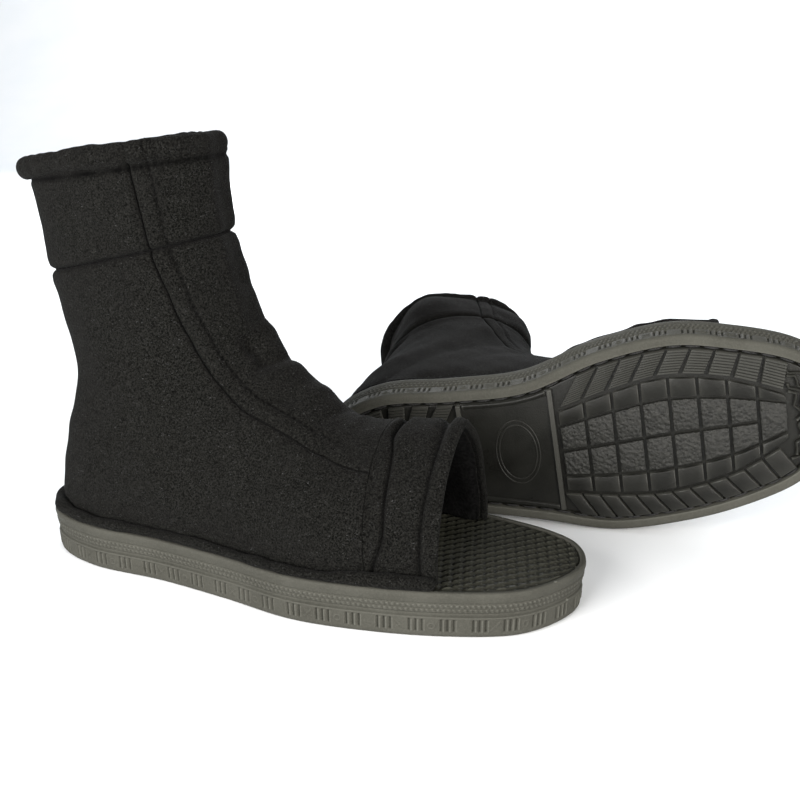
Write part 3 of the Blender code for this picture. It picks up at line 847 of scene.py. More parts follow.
def fibre_board():
    board = Shader("fibre_board", Roughness=0.85)
    fibres = board.noise(0.0012, detail=6, distortion=1.0, stretch=(1, 1, 3))
    board.colour(board.mix(board.ramp(fibres, 0.3, 0.7), (0.22, 0.19, 0.15), (0.38, 0.34, 0.28)))
    board.bump(fibres, 0.0002, 0.7)
    return board.material


def moulded_pvc():
    """Matt taupe-grey soft plastic with fine moulding grain, painted shade in the hollows and painted
    highlights on convex edges.
    """
    pvc = Shader("taupe_pvc", Roughness=0.7, Specular_IOR_Level=0.06)
    clouds = pvc.noise(0.02, detail=4)
    grain = pvc.noise(0.0008, detail=4, roughness=0.75)
    tone = pvc.mix(pvc.ramp(clouds, 0.3, 0.7), (0.035, 0.0345, 0.0290), (0.045, 0.0445, 0.0380))
    tone = pvc.mix(pvc.ramp(grain, 0.35, 0.75, 0, 0.5), tone, (0.066, 0.065, 0.056))
    # Painted shade: the hollows of the moulding are darkened to near black.
    tone = pvc.mix(pvc.edges(0.38, 0.495), (0.007, 0.007, 0.005), tone)
    # Painted highlight: convex edges are lightened.
    pvc.colour(pvc.mix(pvc.edges(0.51, 0.6), tone, (0.105, 0.105, 0.092)))
    pvc.roughness(pvc.ramp(clouds, 0.3, 0.7, 0.6, 0.78))
    pvc.bump(pvc.noise(0.003, detail=5, roughness=0.7), 0.0003, 0.8)
    pvc.bump(grain, 0.0003, 0.9)
    return pvc.material


def tread_rubber():
    """Dark moulded rubber, a little glossy in patches, with painted shade in its hollows and painted
    highlights on its convex edges.
    """
    rubber = Shader("tread_rubber_fine", Roughness=0.45, Specular_IOR_Level=0.14)
    grain = rubber.noise(0.0009, detail=4, roughness=0.7)
    clouds = rubber.noise(0.018, detail=3)
    tone = rubber.mix(rubber.ramp(clouds, 0.3, 0.7), (0.0058, 0.0058, 0.0050), (0.0082, 0.0082, 0.0070))
    # Painted shade: the hollows between blocks are darkened to near black.
    tone = rubber.mix(rubber.edges(0.36, 0.49), (0.001, 0.001, 0.001), tone)
    # Painted highlight: convex block edges are lightened.
    rubber.colour(rubber.mix(rubber.edges(0.53, 0.64), tone, (0.034, 0.034, 0.030)))
    rubber.roughness(rubber.ramp(clouds, 0.25, 0.75, 0.26, 0.38))
    rubber.bump(grain, 0.0002, 0.7)
    return rubber.material


def pebbled_rubber():
    """The tread's inner blocks, with a coarse pebble texture."""
    rubber = Shader("pebbled_rubber", Roughness=0.45, Specular_IOR_Level=0.24)
    pebbles = rubber.cells(0.0016, feature="SMOOTH_F1")
    grain = rubber.noise(0.0022, detail=5, roughness=0.75)
    tone = rubber.mix(rubber.ramp(grain, 0.3, 0.7), (0.0044, 0.0044, 0.0037), (0.0130, 0.0130, 0.0110))
    rubber.colour(tone)
    rubber.bump(pebbles, 0.0007, 1.0)
    rubber.bump(grain, 0.0006, 1.0)
    return rubber.material


def footbed_plastic():
    """Dark soft plastic top sheet, with painted shade in its hollows and a painted highlight on the raised
    weave's edges.
    """
    plastic = Shader("footbed_pvc_fine", Roughness=0.45, Specular_IOR_Level=0.2)
    grain = plastic.noise(0.0007, detail=4, roughness=0.75)
    clouds = plastic.noise(0.02, detail=3)
    tone = plastic.mix(plastic.ramp(clouds, 0.3, 0.7), (0.0110, 0.0108, 0.0076), (0.0165, 0.0162, 0.0118))
    # Painted shade: the pits of the weave are darkened.
    tone = plastic.mix(plastic.edges(0.4, 0.5), (0.0012, 0.0010, 0.0006), tone)
    # Painted highlight: the raised weave's convex edges are lightened.
    plastic.colour(plastic.mix(plastic.edges(0.505, 0.57), tone, (0.048, 0.048, 0.038)))
    plastic.roughness(plastic.ramp(clouds, 0.3, 0.7, 0.36, 0.5))
    plastic.bump(grain, 0.00015, 0.7)
    return plastic.material


def sewing_thread(name, dark, light):
    thread = Shader(name, Roughness=0.85, Specular_IOR_Level=0.1)
    ply = thread.noise(0.0005, detail=2, distortion=1.0)
    thread.colour(thread.mix(thread.ramp(ply, 0.3, 0.7), dark, light))
    thread.bump(ply, 0.0001, 0.8)
    return thread.material


# ---- The sole ----


def ladder_cap(count, start=0, flip=False):
    """Faces across a closed outline of count points, joining each point to the one facing it."""
    half = count // 2
    faces = [(start, start + 1, start + count - 1)]
    for i in range(1, half - 1):
        faces.append((start + i, start + i + 1, start + count - i - 1, start + count - i))
    faces.append((start + half - 1, start + half, start + half + 1))
    return [face[::-1] for face in faces] if flip else faces


def capped(rings):
    """A closed shape through rings of the sole's outline, with the first and the last one filled."""
    count = len(rings[0])
    faces = grid_faces(len(rings), count, wrap_columns=True)
    faces += ladder_cap(count) + ladder_cap(count, (len(rings) - 1) * count, flip=True)
    return np.concatenate(rings), faces


WALL_GROUP, GROOVES = 12.6, (1.2, 3.8, 6.4)  # about how long one group is, and where its grooves are
BRICK_ROWS = ((12.3, 0.0), (14.4, 0.5))  # the height and stagger of each row of small blocks
WALL_LINES = (11.1, 15.7)
FOOT_ROUND, RIM_ROUND = 2.3, 1.1


def wall_relief(along, height, period):
    """How far the moulded pattern stands out from the sole's wall."""
    place = np.mod(along, period)
    lower = band(height, 2.9, 8.4, 0.3)
    total = 0.0
    for at in GROOVES:
        total -= 1.0 * bell(place - at, 0.42) * lower
        total += 0.35 * bell(place - at - 0.95, 0.4) * lower
    # Of every three gaps between the groups, one holds a small cross, the next a small ring and the third
    # nothing.
    u, v = place - (GROOVES[-1] + GROOVES[0] + period) / 2, height - 5.6
    cross = bell(np.minimum(np.abs(u - v), np.abs(u + v)), 0.3) * (np.abs(u) < 1.9) * (np.abs(v) < 1.9)
    ring = bell(np.hypot(u, v) - 1.3, 0.35)
    repeat = np.mod(np.floor(along / period), 3)
    total += 0.38 * np.select([repeat == 0, repeat == 1], [cross, ring], 0.0)
    # Two rows of short raised blocks, staggered like bricks, above the step.
    small = period / 6
    for middle, shift in BRICK_ROWS:
        turns = along / small + shift + 0.12 * (height - middle)
        raised = step(np.cos(2 * math.pi * turns), -0.75, -0.2)
        total += 0.42 * raised * band(height, middle - 0.75, middle + 0.75, 0.18)
    for line in WALL_LINES:
        total -= 0.35 * bell(height - line, 0.22)
    return total


def wall_inset(height):
    """The wall leans: it is widest near its top, with a small ledge over the lower band."""
    heights = (0, 2.6, FOXING_TOP, FOXING_TOP + 0.5, 12.0, 15.5, 18.5, SOLE_TOP)
    insets = (1.3, 1.2, 0.75, 1.5, 1.15, 0.3, -0.45, -0.4)
    return np.interp(height, heights, insets)


def build_midsole(boot, material):
    count = 1300
    line = sole_outline(count)
    inwards = inwards_of(line)
    along = lengths(line)
    around = along[-1] + np.linalg.norm(line[0] - line[-1])
    period = around / (3 * round(around / WALL_GROUP / 3))
    turn = np.linspace(0, math.pi / 2, 8)
    foot = [(FOOT_ROUND * (1 - math.sin(angle)), FOOT_ROUND * (1 - math.cos(angle))) for angle in turn]
    edge = [(RIM_ROUND * (1 - math.cos(angle)), RIM_ROUND * (math.sin(angle) - 1)) for angle in turn]
    profile = [
        (CHANNEL_OUTER, CHANNEL_DEPTH), (CHANNEL_OUTER, 0.5), (CHANNEL_OUTER - 0.15, 0.15),
        (CHANNEL_OUTER - 0.5, 0), (4.6, 0),
    ]
    profile += [(wall_inset(z) + inset, z) for inset, z in foot]
    profile += [(wall_inset(z), z) for z in np.arange(2.6, 9.0, 0.3)]
    profile += [(wall_inset(9.0), 9.05), (wall_inset(9.0) + 0.15, 9.35), (1.25, 9.5), (1.5, 9.75)]
    profile += [(wall_inset(z), z) for z in np.arange(10.1, 19.3, 0.3)]
    profile += [(wall_inset(SOLE_TOP) + inset, SOLE_TOP + z) for inset, z in edge]
    profile += [
        (1.5, SOLE_TOP), (1.9, SOLE_TOP - 0.12), (RIM_WIDTH, SOLE_TOP - 0.4),
        (RIM_WIDTH, SOLE_TOP - FOOTBED_THICK - 0.3),
    ]
    rings = []
    wobble = 0.12 * waves(line, 5, 60)
    for index, (inset, height) in enumerate(profile):
        out = wall_relief(along, height, period) if 2.3 < height < 19 and inset < 2 and index > 5 else 0
        flat = line + inwards * (inset - out - wobble * (inset < 1))[:, None]
        rings.append(at_height(flat, height))
    boot.add("midsole", *capped(rings), material)


def sheet_grid(inset, spacing, columns):
    """Rows of points across the sole inside an outline, from heel to toe."""
    line = sole_outline(inset=inset)
    first, last = line[:, 0].min(), line[:, 0].max()
    ends = np.array([0.02, 0.1, 0.25, 0.5])
    x = np.unique(np.r_[np.arange(first + 0.8, last - 0.8, spacing), first + ends, last - ends])
    low = -half_width(line, x, -1)
    high = half_width(line, x, 1)
    share = np.linspace(0, 1, columns)
    y = low[:, None] + (high - low)[:, None] * share
    return np.broadcast_to(x[:, None], y.shape), y


WEAVE_SLANT, WEAVE_ROW, WEAVE_BAR = math.radians(44), 4.6, 5.0


def weave(x, y):
    """Moulded basket pattern on the slant: thin raised bars laid like bricks and ties between them, with
    pits in the corners."""
    u = x * math.cos(WEAVE_SLANT) + y * math.sin(WEAVE_SLANT)
    v = y * math.cos(WEAVE_SLANT) - x * math.sin(WEAVE_SLANT)
    row = np.floor(v / WEAVE_ROW)
    across = np.abs(v / WEAVE_ROW - row - 0.5)
    along = np.abs(np.mod(u / WEAVE_BAR + 0.5 * row, 1.0) - 0.5)
    bar = (1 - step(across, 0.12, 0.3)) * (1 - 0.5 * step(along, 0.36, 0.48))
    return np.maximum(bar, 0.6 * (1 - step(along, 0.1, 0.24)))


def build_footbed(boot, material):
    inset = RIM_WIDTH + 0.25
    x, y = sheet_grid(inset, 0.7, 130)
    middle = 1 - step(np.abs(y - (y[:, :1] + y[:, -1:]) / 2) / ((y[:, -1:] - y[:, :1]) / 2), 0.93, 0.97)
    z = SOLE_TOP - 0.95 + 1.05 * weave(x, y) * middle + 0.1 * waves(np.stack([x, y], -1), 3, 50)
    top = np.stack([x, y, z], -1)
    rows, columns = x.shape
    low_side = np.stack([top[:, 0], top[:, -1]], 1).copy()
    low_side[..., 2] = SOLE_TOP - FOOTBED_THICK
    faces = grid_faces(rows, columns)
    start = rows * columns
    for i in range(rows - 1):
        a, b = start + 2 * i, start + 2 * (i + 1)
        faces.append((a, b, (i + 1) * columns, i * columns))
        faces.append((b + 1, a + 1, i * columns + columns - 1, (i + 1) * columns + columns - 1))
        faces.append((a + 1, b + 1, b, a))
    faces.append((start, 0, *range(1, columns), start + 1))
    last = (rows - 1) * columns
    faces.append((start + 2 * rows - 1, *range(last + columns - 1, last - 1, -1), start + 2 * rows - 2))
    boot.add("footbed", np.concatenate([top.reshape(-1, 3), low_side.reshape(-1, 3)]), faces, material)


# Forefoot pad: an oval of blocks, its middle line and half-width at a few distances from the heel.
PAD_FROM, PAD_TO, PAD_COLUMNS = 120.0, 225.0, 8
OVAL = ((120, -5.9, 20.4), (147, -3.9, 25.8), (171, -1.8, 27.9), (200, -0.5, 22.6), (225, 1.5, 11.2))
INNER_SHARE = 0.62
GROOVE = 1.5
BLOCK_TOP, BLOCK_FOOT = 0.0, 2.6
HEEL_OVAL = ((14, 0.3, 9.0), (40, 0.3, 15.0), (66, -0.5, 13.0))
HEEL_FROM, HEEL_TO, HEEL_COLUMNS = 14.0, 68.0, 4
WAIST_FROM, WAIST_TO = 72, 117  # between them the tread is recessed up to SHANK_RISE
WAIST_OVAL, WAIST_OVAL_RADII = (99, -4.5), (10.5, 16)


def oval_at(oval, x):
    """The middle and half-width of an oval pad at x."""
    values = np.array(oval, float)
    return spline_at(values[:, 1:], index_at(values[:, 0], x))[0]


def block(outline, top=BLOCK_TOP, foot=BLOCK_FOOT, rounding=0.45):
    """A tread block: an outline with rounded top edges. Its top faces down, at a low z."""
    outline = np.asarray(outline, float)
    centre = outline.mean(axis=0)
    rings = []
    inwards = centre - outline
    size = np.linalg.norm(inwards, axis=1, keepdims=True)
    bevel = rounding * 0.3
    for inset, height in ((0, foot), (0, top + rounding), (bevel, top + bevel), (rounding, top)):
        flat = outline + inwards / size * np.minimum(inset * 1.3, size * 0.6)
        rings.append(at_height(flat, height))
    count = len(outline)
    faces = grid_faces(len(rings), count, wrap_columns=True)
    faces += [list(range(count)), [(len(rings) - 1) * count + i for i in range(count)][::-1]]
    return np.concatenate(rings), faces


def band_outline(x_from, x_to, y_low, y_high, steps=5):
    """A block outline between two x values and two curves y(x)."""
    x = np.linspace(x_from, x_to, steps)
    lower = [(value, y_low(value)) for value in x]
    upper = [(value, y_high(value)) for value in x[::-1]]
    return lower + upper


def round_corner(outline, lower):
    """Rounds the front outer corner of an end block; the lower curve of the outline comes first."""
    points = np.array(outline)
    half = len(points) // 2
    corner = half - 1 if lower else half
    inner = points[half] if lower else points[half - 1]
    before = points[corner - 1] if lower else points[corner + 1]
    cut = [
        points[corner] * 0.1 + before * 0.9,
        points[corner] * 0.62 + before * 0.2 + inner * 0.18,
        points[corner] * 0.6 + inner * 0.4,
    ]
    cut = cut if lower else cut[::-1]
    return [*points[:corner], *cut, *points[corner + 1 :]]


def oval_blocks(oval, x_from, x_to, columns):
    """Smooth border blocks and pebbled inner blocks of an oval pad."""
    edges = np.linspace(x_from, x_to, columns + 1)
    smooth, pebbled = [], []
    levels = (-1, -INNER_SHARE, 0, INNER_SHARE, 1)
    gap = GROOVE / 2

    def level_line(share, shift):
        def line(x):
            middle, width = oval_at(oval, x)
            return middle + share * width + shift
        return line

    for i in range(columns):
        last = i == columns - 1
        rows = ((0, 1), (1, 3), (3, 4)) if last else ((0, 1), (1, 2), (2, 3), (3, 4))
        for low, high in rows:
            lower, upper = level_line(levels[low], gap), level_line(levels[high], -gap)
            outline = band_outline(edges[i] + gap, edges[i + 1] - gap, lower, upper)
            outer = low == 0 or high == 4
            if last and outer:
                outline = round_corner(outline, low == 0)
            border = outer or (last and columns < 5)
            (smooth if border else pebbled).append(block(outline, top=0 if border else 0.25))
    return smooth, pebbled


def side_bars(oval, side, first, count, pitch, leans, gap, edge_line, ribbed):
    """Slanted bars between an oval pad and the stitch channel."""
    parts = []
    for i in range(count):
        lean = np.interp(i, (0, count - 1), leans)
        corners = []
        for inner_x in (first + i * pitch, first + (i + 1) * pitch - gap):
            middle, width = oval_at(oval, inner_x)
            inner = np.array((inner_x, middle + side * (width + GROOVE)))
            outer_x = inner_x + lean
            outer = np.array((outer_x, side * (half_width(edge_line, outer_x, side) - 0.2)))
            corners.append((inner, outer))
        (a, b), (c, d) = corners
        if (b[1] - a[1]) * side < 2 or (d[1] - c[1]) * side < 2:
            continue
        parts.append(block([a, (a + b) / 2, b, d, (c + d) / 2, c], top=0.7 if ribbed else BLOCK_TOP))
        if not ribbed:
            continue
        ribs = max(3, int(np.linalg.norm(b - a) / 1.35))
        for k in range(ribs):
            low, high = (k + 0.12) / ribs, (k + 0.82) / ribs
            rib = [a + (b - a) * low, a + (b - a) * high, c + (d - c) * high, c + (d - c) * low]
            parts.append(block(rib, top=0.1, foot=1.0, rounding=0.25))
    return parts


def ridge_line(flat_path, width, height):
    """A low rounded ridge along a path in the sole's plane; its crest is the lowest part."""
    return sweep(at_height(flat_path, BLOCK_TOP + height), UP, (width / 2, height), sides=8)


ZIGZAG_ROWS, ZIGZAG_SPACING, ZIGZAG_PITCH, ZIGZAG_SWING = 6, 3.1, 10.4, 1.7


def toe_zigzags(edge_inset):
    """Nested zigzag ridges that follow the toe in front of the oval pad."""
    parts = []
    for i in range(ZIGZAG_ROWS):
        line = sole_outline(inset=edge_inset + 3.0 + i * ZIGZAG_SPACING)
        line = line[line[:, 0] > 206]
        line = line[np.argsort(line[:, 1])]
        along = lengths(line)
        middle = along[-1] / 2
        at = middle + ZIGZAG_PITCH / 4 * np.arange(-30, 31)
        at = at[(at > 0.5) & (at < along[-1] - 0.5)]
        path = along_line(line, along, at)
        outwards = unit(path - np.array((200.0, 2.0)))
        swing = ZIGZAG_SWING * (2 * np.abs(np.mod((at - middle) / ZIGZAG_PITCH, 1.0) - 0.5) * 2 - 1)
        path = path + outwards * swing[:, None]
        centre, width = oval_at(OVAL, path[:, 0])
        past_pad = np.where(path[:, 0] < PAD_TO + 2.5, 12.5, 0)
        outside = np.abs(path[:, 1] - centre) > np.where(path[:, 0] < PAD_TO, width + 2.5, past_pad)
        limit = np.where(path[:, 1] > 0, 219.5, 219.0)
        keep = outside & (path[:, 0] > limit)
        start = 0
        while start < len(keep):
            end = start
            while end < len(keep) and keep[end]:
                end += 1
            if end - start > 2:
                fine = np.linspace(start, end - 1, 3 * (end - start))
                run = along_line(path, np.arange(len(path)), fine)
                parts.append(ridge_line(run, 1.5, height=1.2))
            start = end + 1
    return parts


def build_tread(boot, smooth_material, pebbled_material):
    line = sole_outline(1240, CHANNEL_INNER)
    count = len(line)
    waist = band(line[:, 0], WAIST_FROM, WAIST_TO, 0.8)
    base = BLOCK_FOOT - 0.4 - (BLOCK_FOOT - 0.4 - SHANK_RISE) * waist
    rings = []
    for inset, lift in ((0.0, None), (0.0, 0.5), (0.25, 0.12), (0.7, 0.0)):
        flat = sole_outline(count, CHANNEL_INNER + inset)
        rings.append(at_height(flat, CHANNEL_DEPTH - 0.3 if lift is None else base + lift))
    edge_line = sole_outline(inset=CHANNEL_INNER)
    smooth, pebbled = oval_blocks(OVAL, PAD_FROM, PAD_TO, PAD_COLUMNS)
    heel_smooth, heel_pebbled = oval_blocks(HEEL_OVAL, HEEL_FROM, HEEL_TO, HEEL_COLUMNS)
    parts = [capped(rings)]
    parts += smooth + heel_smooth + toe_zigzags(CHANNEL_INNER)
    parts += side_bars(OVAL, 1, 122.0, 9, 11.5, (9.2, 2.8), 2.2, edge_line, ribbed=True)
    parts += side_bars(OVAL, -1, 119.5, 12, 8.5, (6.6, 6.6), 1.3, edge_line, ribbed=False)
    parts += side_bars(HEEL_OVAL, 1, 18.0, 5, 10.0, (-3.0, 5.0), 2.2, edge_line, ribbed=True)
    parts += side_bars(HEEL_OVAL, -1, 18.0, 7, 7.2, (-3.0, 5.0), 1.3, edge_line, ribbed=False)
    for x in (WAIST_FROM + 1, WAIST_TO + 0.5):
        across = (-half_width(edge_line, x, -1) + 0.6, half_width(edge_line, x, 1) - 0.6)
        corners = [(x - 1.1, across[0]), (x - 1.1, across[1]), (x + 1.1, across[1]), (x + 1.1, across[0])]
        parts.append(block(corners, rounding=0.6))
    for side in (-1, 1):
        x = np.linspace(WAIST_FROM + 3, WAIST_TO - 1.5, 60)
        lip = np.column_stack([x, side * (half_width(edge_line, x, side) - 1.6)])
        parts.append(sweep(at_height(lip, SHANK_RISE - 0.1), UP, (1.3, 0.9), sides=10))
    turn = np.linspace(0, 2 * math.pi, 72, endpoint=False)
    circle = np.column_stack([np.cos(turn), np.sin(turn)])
    for size in (1.0, 0.86):
        ring = WAIST_OVAL + circle * np.multiply(WAIST_OVAL_RADII, size)
        parts.append(sweep(at_height(ring, SHANK_RISE + 0.05), UP, (0.45, 0.4), sides=8, closed=True))
    inner = joined(pebbled + heel_pebbled)
    boot.add("tread_plate", *joined(parts), smooth_material, sharp=50)
    boot.add("tread_plate", *inner, pebbled_material, name="tread_inner_blocks", sharp=50)


def build_channel_stitch(boot, material):
    path = at_height(sole_outline(900, (CHANNEL_OUTER + CHANNEL_INNER) / 2), 1.9)
    path = np.vstack([path, path[:1]])
    boot.add("channel_stitch", *stitches(path, DOWN, 6.6, 1.9, 0.6), material)


# ---- The upper's pieces ----

PANEL_THICK, BAND_THICK = 2.6, 3.4
FILLER_DEPTH, FOAM_THICK, BOARD_THICK = 2.9, 1.2, 0.9
LINING_DEPTH, LINING_THICK = 4.9, 0.8
EDGE_ROWS = (0.004, 0.012, 0.028, 0.05)
EDGE_COLUMNS = (0.002, 0.006, 0.014, 0.026)


def build_panels(boot, material):
    half = np.r_[np.arange(0, 0.62, 0.045), np.arange(0.64, 0.95, 0.016), 0.96, 0.975, 0.985, 0.993, 1]
    front = np.r_[-half[:0:-1], half]
    lateral = spread(-1.999, -1, 0.021, EDGE_COLUMNS)
    medial = spread(1, 1.999, 0.021, EDGE_COLUMNS)
    body = spread(BAND_SEAM, CUFF_SEAM, 0.05, EDGE_ROWS)
    cuff = spread(CUFF_SEAM, PANELS_END, 0.05, EDGE_ROWS)
    panels = (
        ("front_panel", body, front),
        ("lateral_quarter", body, lateral),
        ("medial_quarter", body, medial),
        ("cuff_front", cuff, front),
        ("cuff_lateral", cuff, lateral),
        ("cuff_medial", cuff, medial),
    )
    for node, rows, columns in panels:
        first = 1.1 if rows is cuff else 0.2
        piece = add_layer(boot, node, rows, columns, 0, PANEL_THICK, material, soft=(first, 1.1, 0.5))
    rows = spread(0, BAND_SEAM, 0.018, np.array(EDGE_ROWS))
    columns = spread(-2, 2, 0.025, EDGE_COLUMNS)
    piece = add_layer(boot, "toe_band", rows, columns, 0, BAND_THICK, material, soft=(1.5, 0.2, 1.2))


def slab(outer, inner):
    """A stiff sheet between two grids of points, with square edges."""
    rows, columns = outer.shape[:2]
    size = rows * columns
    index = np.arange(size).reshape(rows, columns)
    rim = [*index[0], *index[1:, -1], *index[-1, -2::-1], *index[-2:0:-1, 0]]
    faces = grid_faces(rows, columns) + [face[::-1] for face in grid_faces(rows, columns, start=size)]
    faces += [(a, size + a, size + b, b) for a, b in zip(rim, rim[1:] + rim[:1])]
    return np.stack([outer, inner]), faces


def build_inner_layers(boot, foam, board, lining):
    every = spread(-1.998, 1.998, 0.05, EDGE_COLUMNS)
    rows = spread(0.1, 14.3, 0.1, EDGE_ROWS)
    piece = add_layer(boot, "lining", rows, every, LINING_DEPTH, LINING_THICK, lining)
    rows = spread(9, 14.0, 0.1, EDGE_ROWS)
    piece = add_layer(boot, "collar_foam", rows, every, FILLER_DEPTH, FOAM_THICK, foam)
    rows = spread(4.4, 8.7, 0.08, EDGE_ROWS)
    parts = []
    for low, high in ((-1.998, -1.45), (1.45, 1.998)):
        points, normals, _ = boot.upper.read(rows, spread(low, high, 0.03, EDGE_COLUMNS), steady=True)
        outer, inner = (points - normals * depth for depth in (FILLER_DEPTH, FILLER_DEPTH + BOARD_THICK))
        parts.append(slab(outer, inner))
    boot.add("heel_counter", *joined(parts), board)


HEM_RADII = (4.1, 4.8)


def build_top_hem(boot, material):
    columns = np.linspace(-2, 2, 241)[:-1]
    points, normals, _ = boot.upper.read(np.array([HEM_CENTRE, HEM_CENTRE + 0.1]), columns)
    up = unit(points[1] - points[0])
    puff = waves(points[0], boot.upper.seed + 7, 24)
    back = step(np.abs(columns), 1.3, 1.8)
    middle = bell(np.abs(columns) - 1.1, 0.35)
    rise = 0.5 * waves(points[0], boot.upper.seed + 8, 60) + 0.9 * middle
    front = bell(columns, 0.55)
    out = 1.6 * back - 2.0 - 1.3 * front
    centre = points[0] + normals[0] * out[:, None] + up * (rise - 0.6 * front)[:, None]
    pucker = waves(points[0], boot.upper.seed + 9, 7)
    size = 0.28 * puff + 0.16 * pucker - 0.35 * bell(np.abs(columns) - 1.0, 0.012) - 0.6 * front
    radii = HEM_RADII + size[:, None]
    piece = boot.add("top_hem", *sweep(centre, up, radii, sides=28, closed=True), material)


WELT_ENDS = (197.0, 200.3)  # how far forward it runs on the medial and the lateral side


def build_welt_bead(boot, material):
    """The upper's turned lower edge, lying on the sole's rim from the toe opening round the heel."""
    line = sole_outline(1000, 2.3)
    line = np.roll(line, 500, axis=0)
    line = line[line[:, 0] < np.where(line[:, 1] > 0, *WELT_ENDS)]
    puff = waves(line, boot.upper.seed + 3, 13)
    slow = waves(line, boot.upper.seed + 4, 45)
    heel = 1 - step(line[:, 0], 5, 70)
    under_band = step(line[:, 0], 156, 162)
    radius = 2.1 + 0.45 * heel + 0.6 * under_band
    path = at_height(line, SOLE_TOP + 0.1 + radius * 0.8 + 0.25 * slow)
    ends = np.minimum(np.arange(len(path)), np.arange(len(path))[::-1])
    taper = np.sqrt(np.clip(1 - (1 - np.clip(ends / 6, 0, 1)) ** 2, 0.02, 1))
    wide = (radius + 0.3 + 0.2 * puff) * taper
    tall = (radius + 0.25 * puff + 0.25 * slow) * taper
    tube = sweep(path, UP, np.column_stack([wide, tall]), sides=20)
    piece = boot.add("welt_bead", *tube, material)


def build_seam_threads(boot, material):
    """Sunk rows of stitches on the upper's seams."""
    upper = boot.upper
    parts = []
    rows = np.arange(1.7, 14.1, 0.05)
    for side in (-1, 1):
        columns = []
        for row in rows:
            line = upper.across[nearest(upper.rows, row)]
            start = np.interp(side * seam_column(row), upper.columns, line)
            columns.append(np.interp(start - side * TOPSTITCH, line, upper.columns))
        parts.append(stitched_path(upper, rows, np.array(columns)))
    columns = np.linspace(-1.97, 1.97, 260)
    for line in (upper.hem_line(columns), upper.band_line(columns)):
        parts.append(stitched_path(upper, line, columns))
    for row in (CUFF_SEAM, HEM_SEAM):
        parts.append(stitched_path(upper, np.full(len(columns), float(row)), columns))
    boot.add("cuff_front", *joined(parts), material, name="seam_threads", replaces=False)


def stitched_path(upper, rows, columns):
    """Stitches along a path of places on the upper, just under its surface."""
    points, normals = upper.at(rows, columns)
    return stitches(points - normals * 0.45, normals, 3.2, 0.9, 0.33)


def build_boot(side, sections, seed, folds, bulges, looks):
    boot = Boot(side, sections, seed, folds, bulges)
    build_midsole(boot, looks["pvc"])
    build_tread(boot, looks["rubber"], looks["pebbled"])
    build_footbed(boot, looks["footbed"])
    build_channel_stitch(boot, looks["thread"])
    build_panels(boot, looks["cloth"])
    build_inner_layers(boot, looks["foam"], looks["board"], looks["lining"])
    build_top_hem(boot, looks["cloth"])
    build_welt_bead(boot, looks["cloth"])
    build_seam_threads(boot, looks["black_thread"])
    return boot


# ---- Camera, floor and light ----


def add_camera(right):
    azimuth, elevation = math.radians(CAMERA_AZIMUTH), math.radians(CAMERA_ELEVATION)
    back = Vector((
        math.sin(azimuth) * math.cos(elevation),
        -math.cos(azimuth) * math.cos(elevation),
        math.sin(elevation),
    ))
    target = Vector(right.origin) + Vector(CAMERA_TARGET) * MM
    data = bpy.data.cameras.new("camera")
    data.lens = CAMERA_LENS
    data.sensor_width = 36.0
    data.clip_start = 0.01
    camera = add_object("camera", data)
    camera.location = target + back * CAMERA_DISTANCE * MM
    turn = back.to_track_quat("Z", "Y").to_matrix() @ Matrix.Rotation(math.radians(CAMERA_ROLL), 3, "Z")
    camera.rotation_euler = turn.to_euler()
    bpy.context.scene.camera = camera


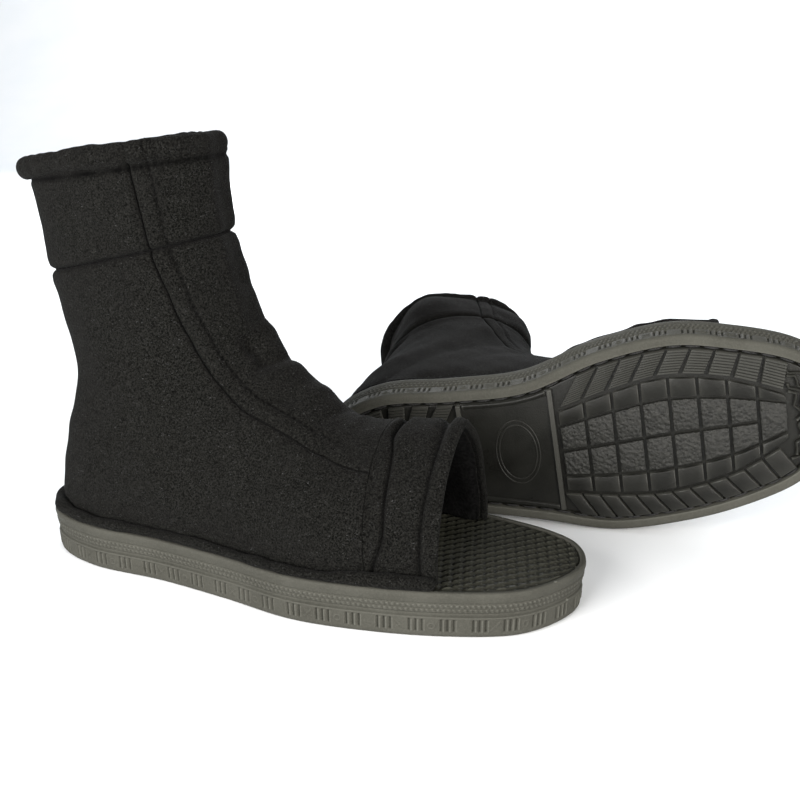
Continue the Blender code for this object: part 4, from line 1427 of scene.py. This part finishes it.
def add_floor():
    """A pale floor that curves up into a backdrop a long way behind."""
    depth, rise, radius, width = 2.2, 1.6, 0.9, 5.0
    profile = [(-4.0, 0.0), (-0.4, 0.0), (0.4, 0.0), (depth - radius, 0.0)]
    for i in range(1, 13):
        angle = math.pi / 2 * i / 12
        profile.append((depth - radius + radius * math.sin(angle), radius - radius * math.cos(angle)))
    profile.append((depth, rise + radius))
    points = [(x, y, z) for y, z in profile for x in (-width, width)]
    mesh = bpy.data.meshes.new("floor")
    mesh.from_pydata(points, [], grid_faces(len(profile), 2))
    mesh.shade_smooth()
    paper = Shader("studio_paper", Roughness=0.85)
    clouds = paper.noise(0.25, detail=3)
    paper.colour(paper.mix(paper.ramp(clouds, 0.2, 0.8), (0.85, 0.88, 0.91), (0.91, 0.92, 0.94)))
    mesh.materials.append(paper.material)
    floor = add_object("floor", mesh)
    floor.location.z = -0.0002


def add_light(name, location, size, power, colour, target=(0, 0, 0.05)):
    data = bpy.data.lights.new(name, "AREA")
    data.shape = "RECTANGLE"
    data.size, data.size_y = size
    data.energy = power
    data.color = colour
    light = add_object(name, data)
    light.location = location
    light.visible_camera = False
    light.rotation_euler = (Vector(target) - Vector(location)).to_track_quat("-Z", "Y").to_euler()


def add_studio():
    add_floor()
    world = bpy.data.worlds.new("studio")
    bpy.context.scene.world = world
    world.use_nodes = True
    world.node_tree.nodes["Background"].inputs["Color"].default_value = (0.93, 0.97, 1.0, 1.0)
    world.node_tree.nodes["Background"].inputs["Strength"].default_value = 0.44
    add_light("window", (-0.4, -1.3, 0.44), (0.9, 0.7), 37, (1.0, 0.98, 0.95))
    add_light("fill", (1.1, -1.0, 0.4), (0.8, 0.7), 30, (1.0, 0.96, 0.9))
    add_light("rear", (-0.45, 1.35, 0.5), (1.0, 0.7), 15, (0.97, 0.99, 1.0))
    add_light("backdrop", (0.0, 1.0, 1.5), (2.4, 0.8), 23, (0.98, 0.99, 1.0), target=(0, 2.2, 0.6))
    bpy.context.scene.view_settings.view_transform = "Standard"


# ---- The whole scene ----

looks = {
    "cloth": knit_cloth(),
    "lining": lining_cloth(),
    "foam": foam_sheet(),
    "board": fibre_board(),
    "pvc": moulded_pvc(),
    "rubber": tread_rubber(),
    "pebbled": pebbled_rubber(),
    "footbed": footbed_plastic(),
    "black_thread": sewing_thread("seam_thread", (0.0006, 0.0006, 0.0006), (0.0016, 0.0016, 0.0016)),
    "thread": sewing_thread("channel_thread", (0.006, 0.006, 0.006), (0.03, 0.03, 0.03)),
}
relaxed = np.array(SECTIONS)
relaxed[:, LATERAL_WIDTH : MEDIAL_WIDTH + 1] += LEFT_SLACK
right = build_boot("right", np.array(SECTIONS), 11, RIGHT_FOLDS, RIGHT_BULGES, looks)
build_boot("left", relaxed, 23, LEFT_FOLDS, LEFT_BULGES, looks)
add_camera(right)
add_studio()
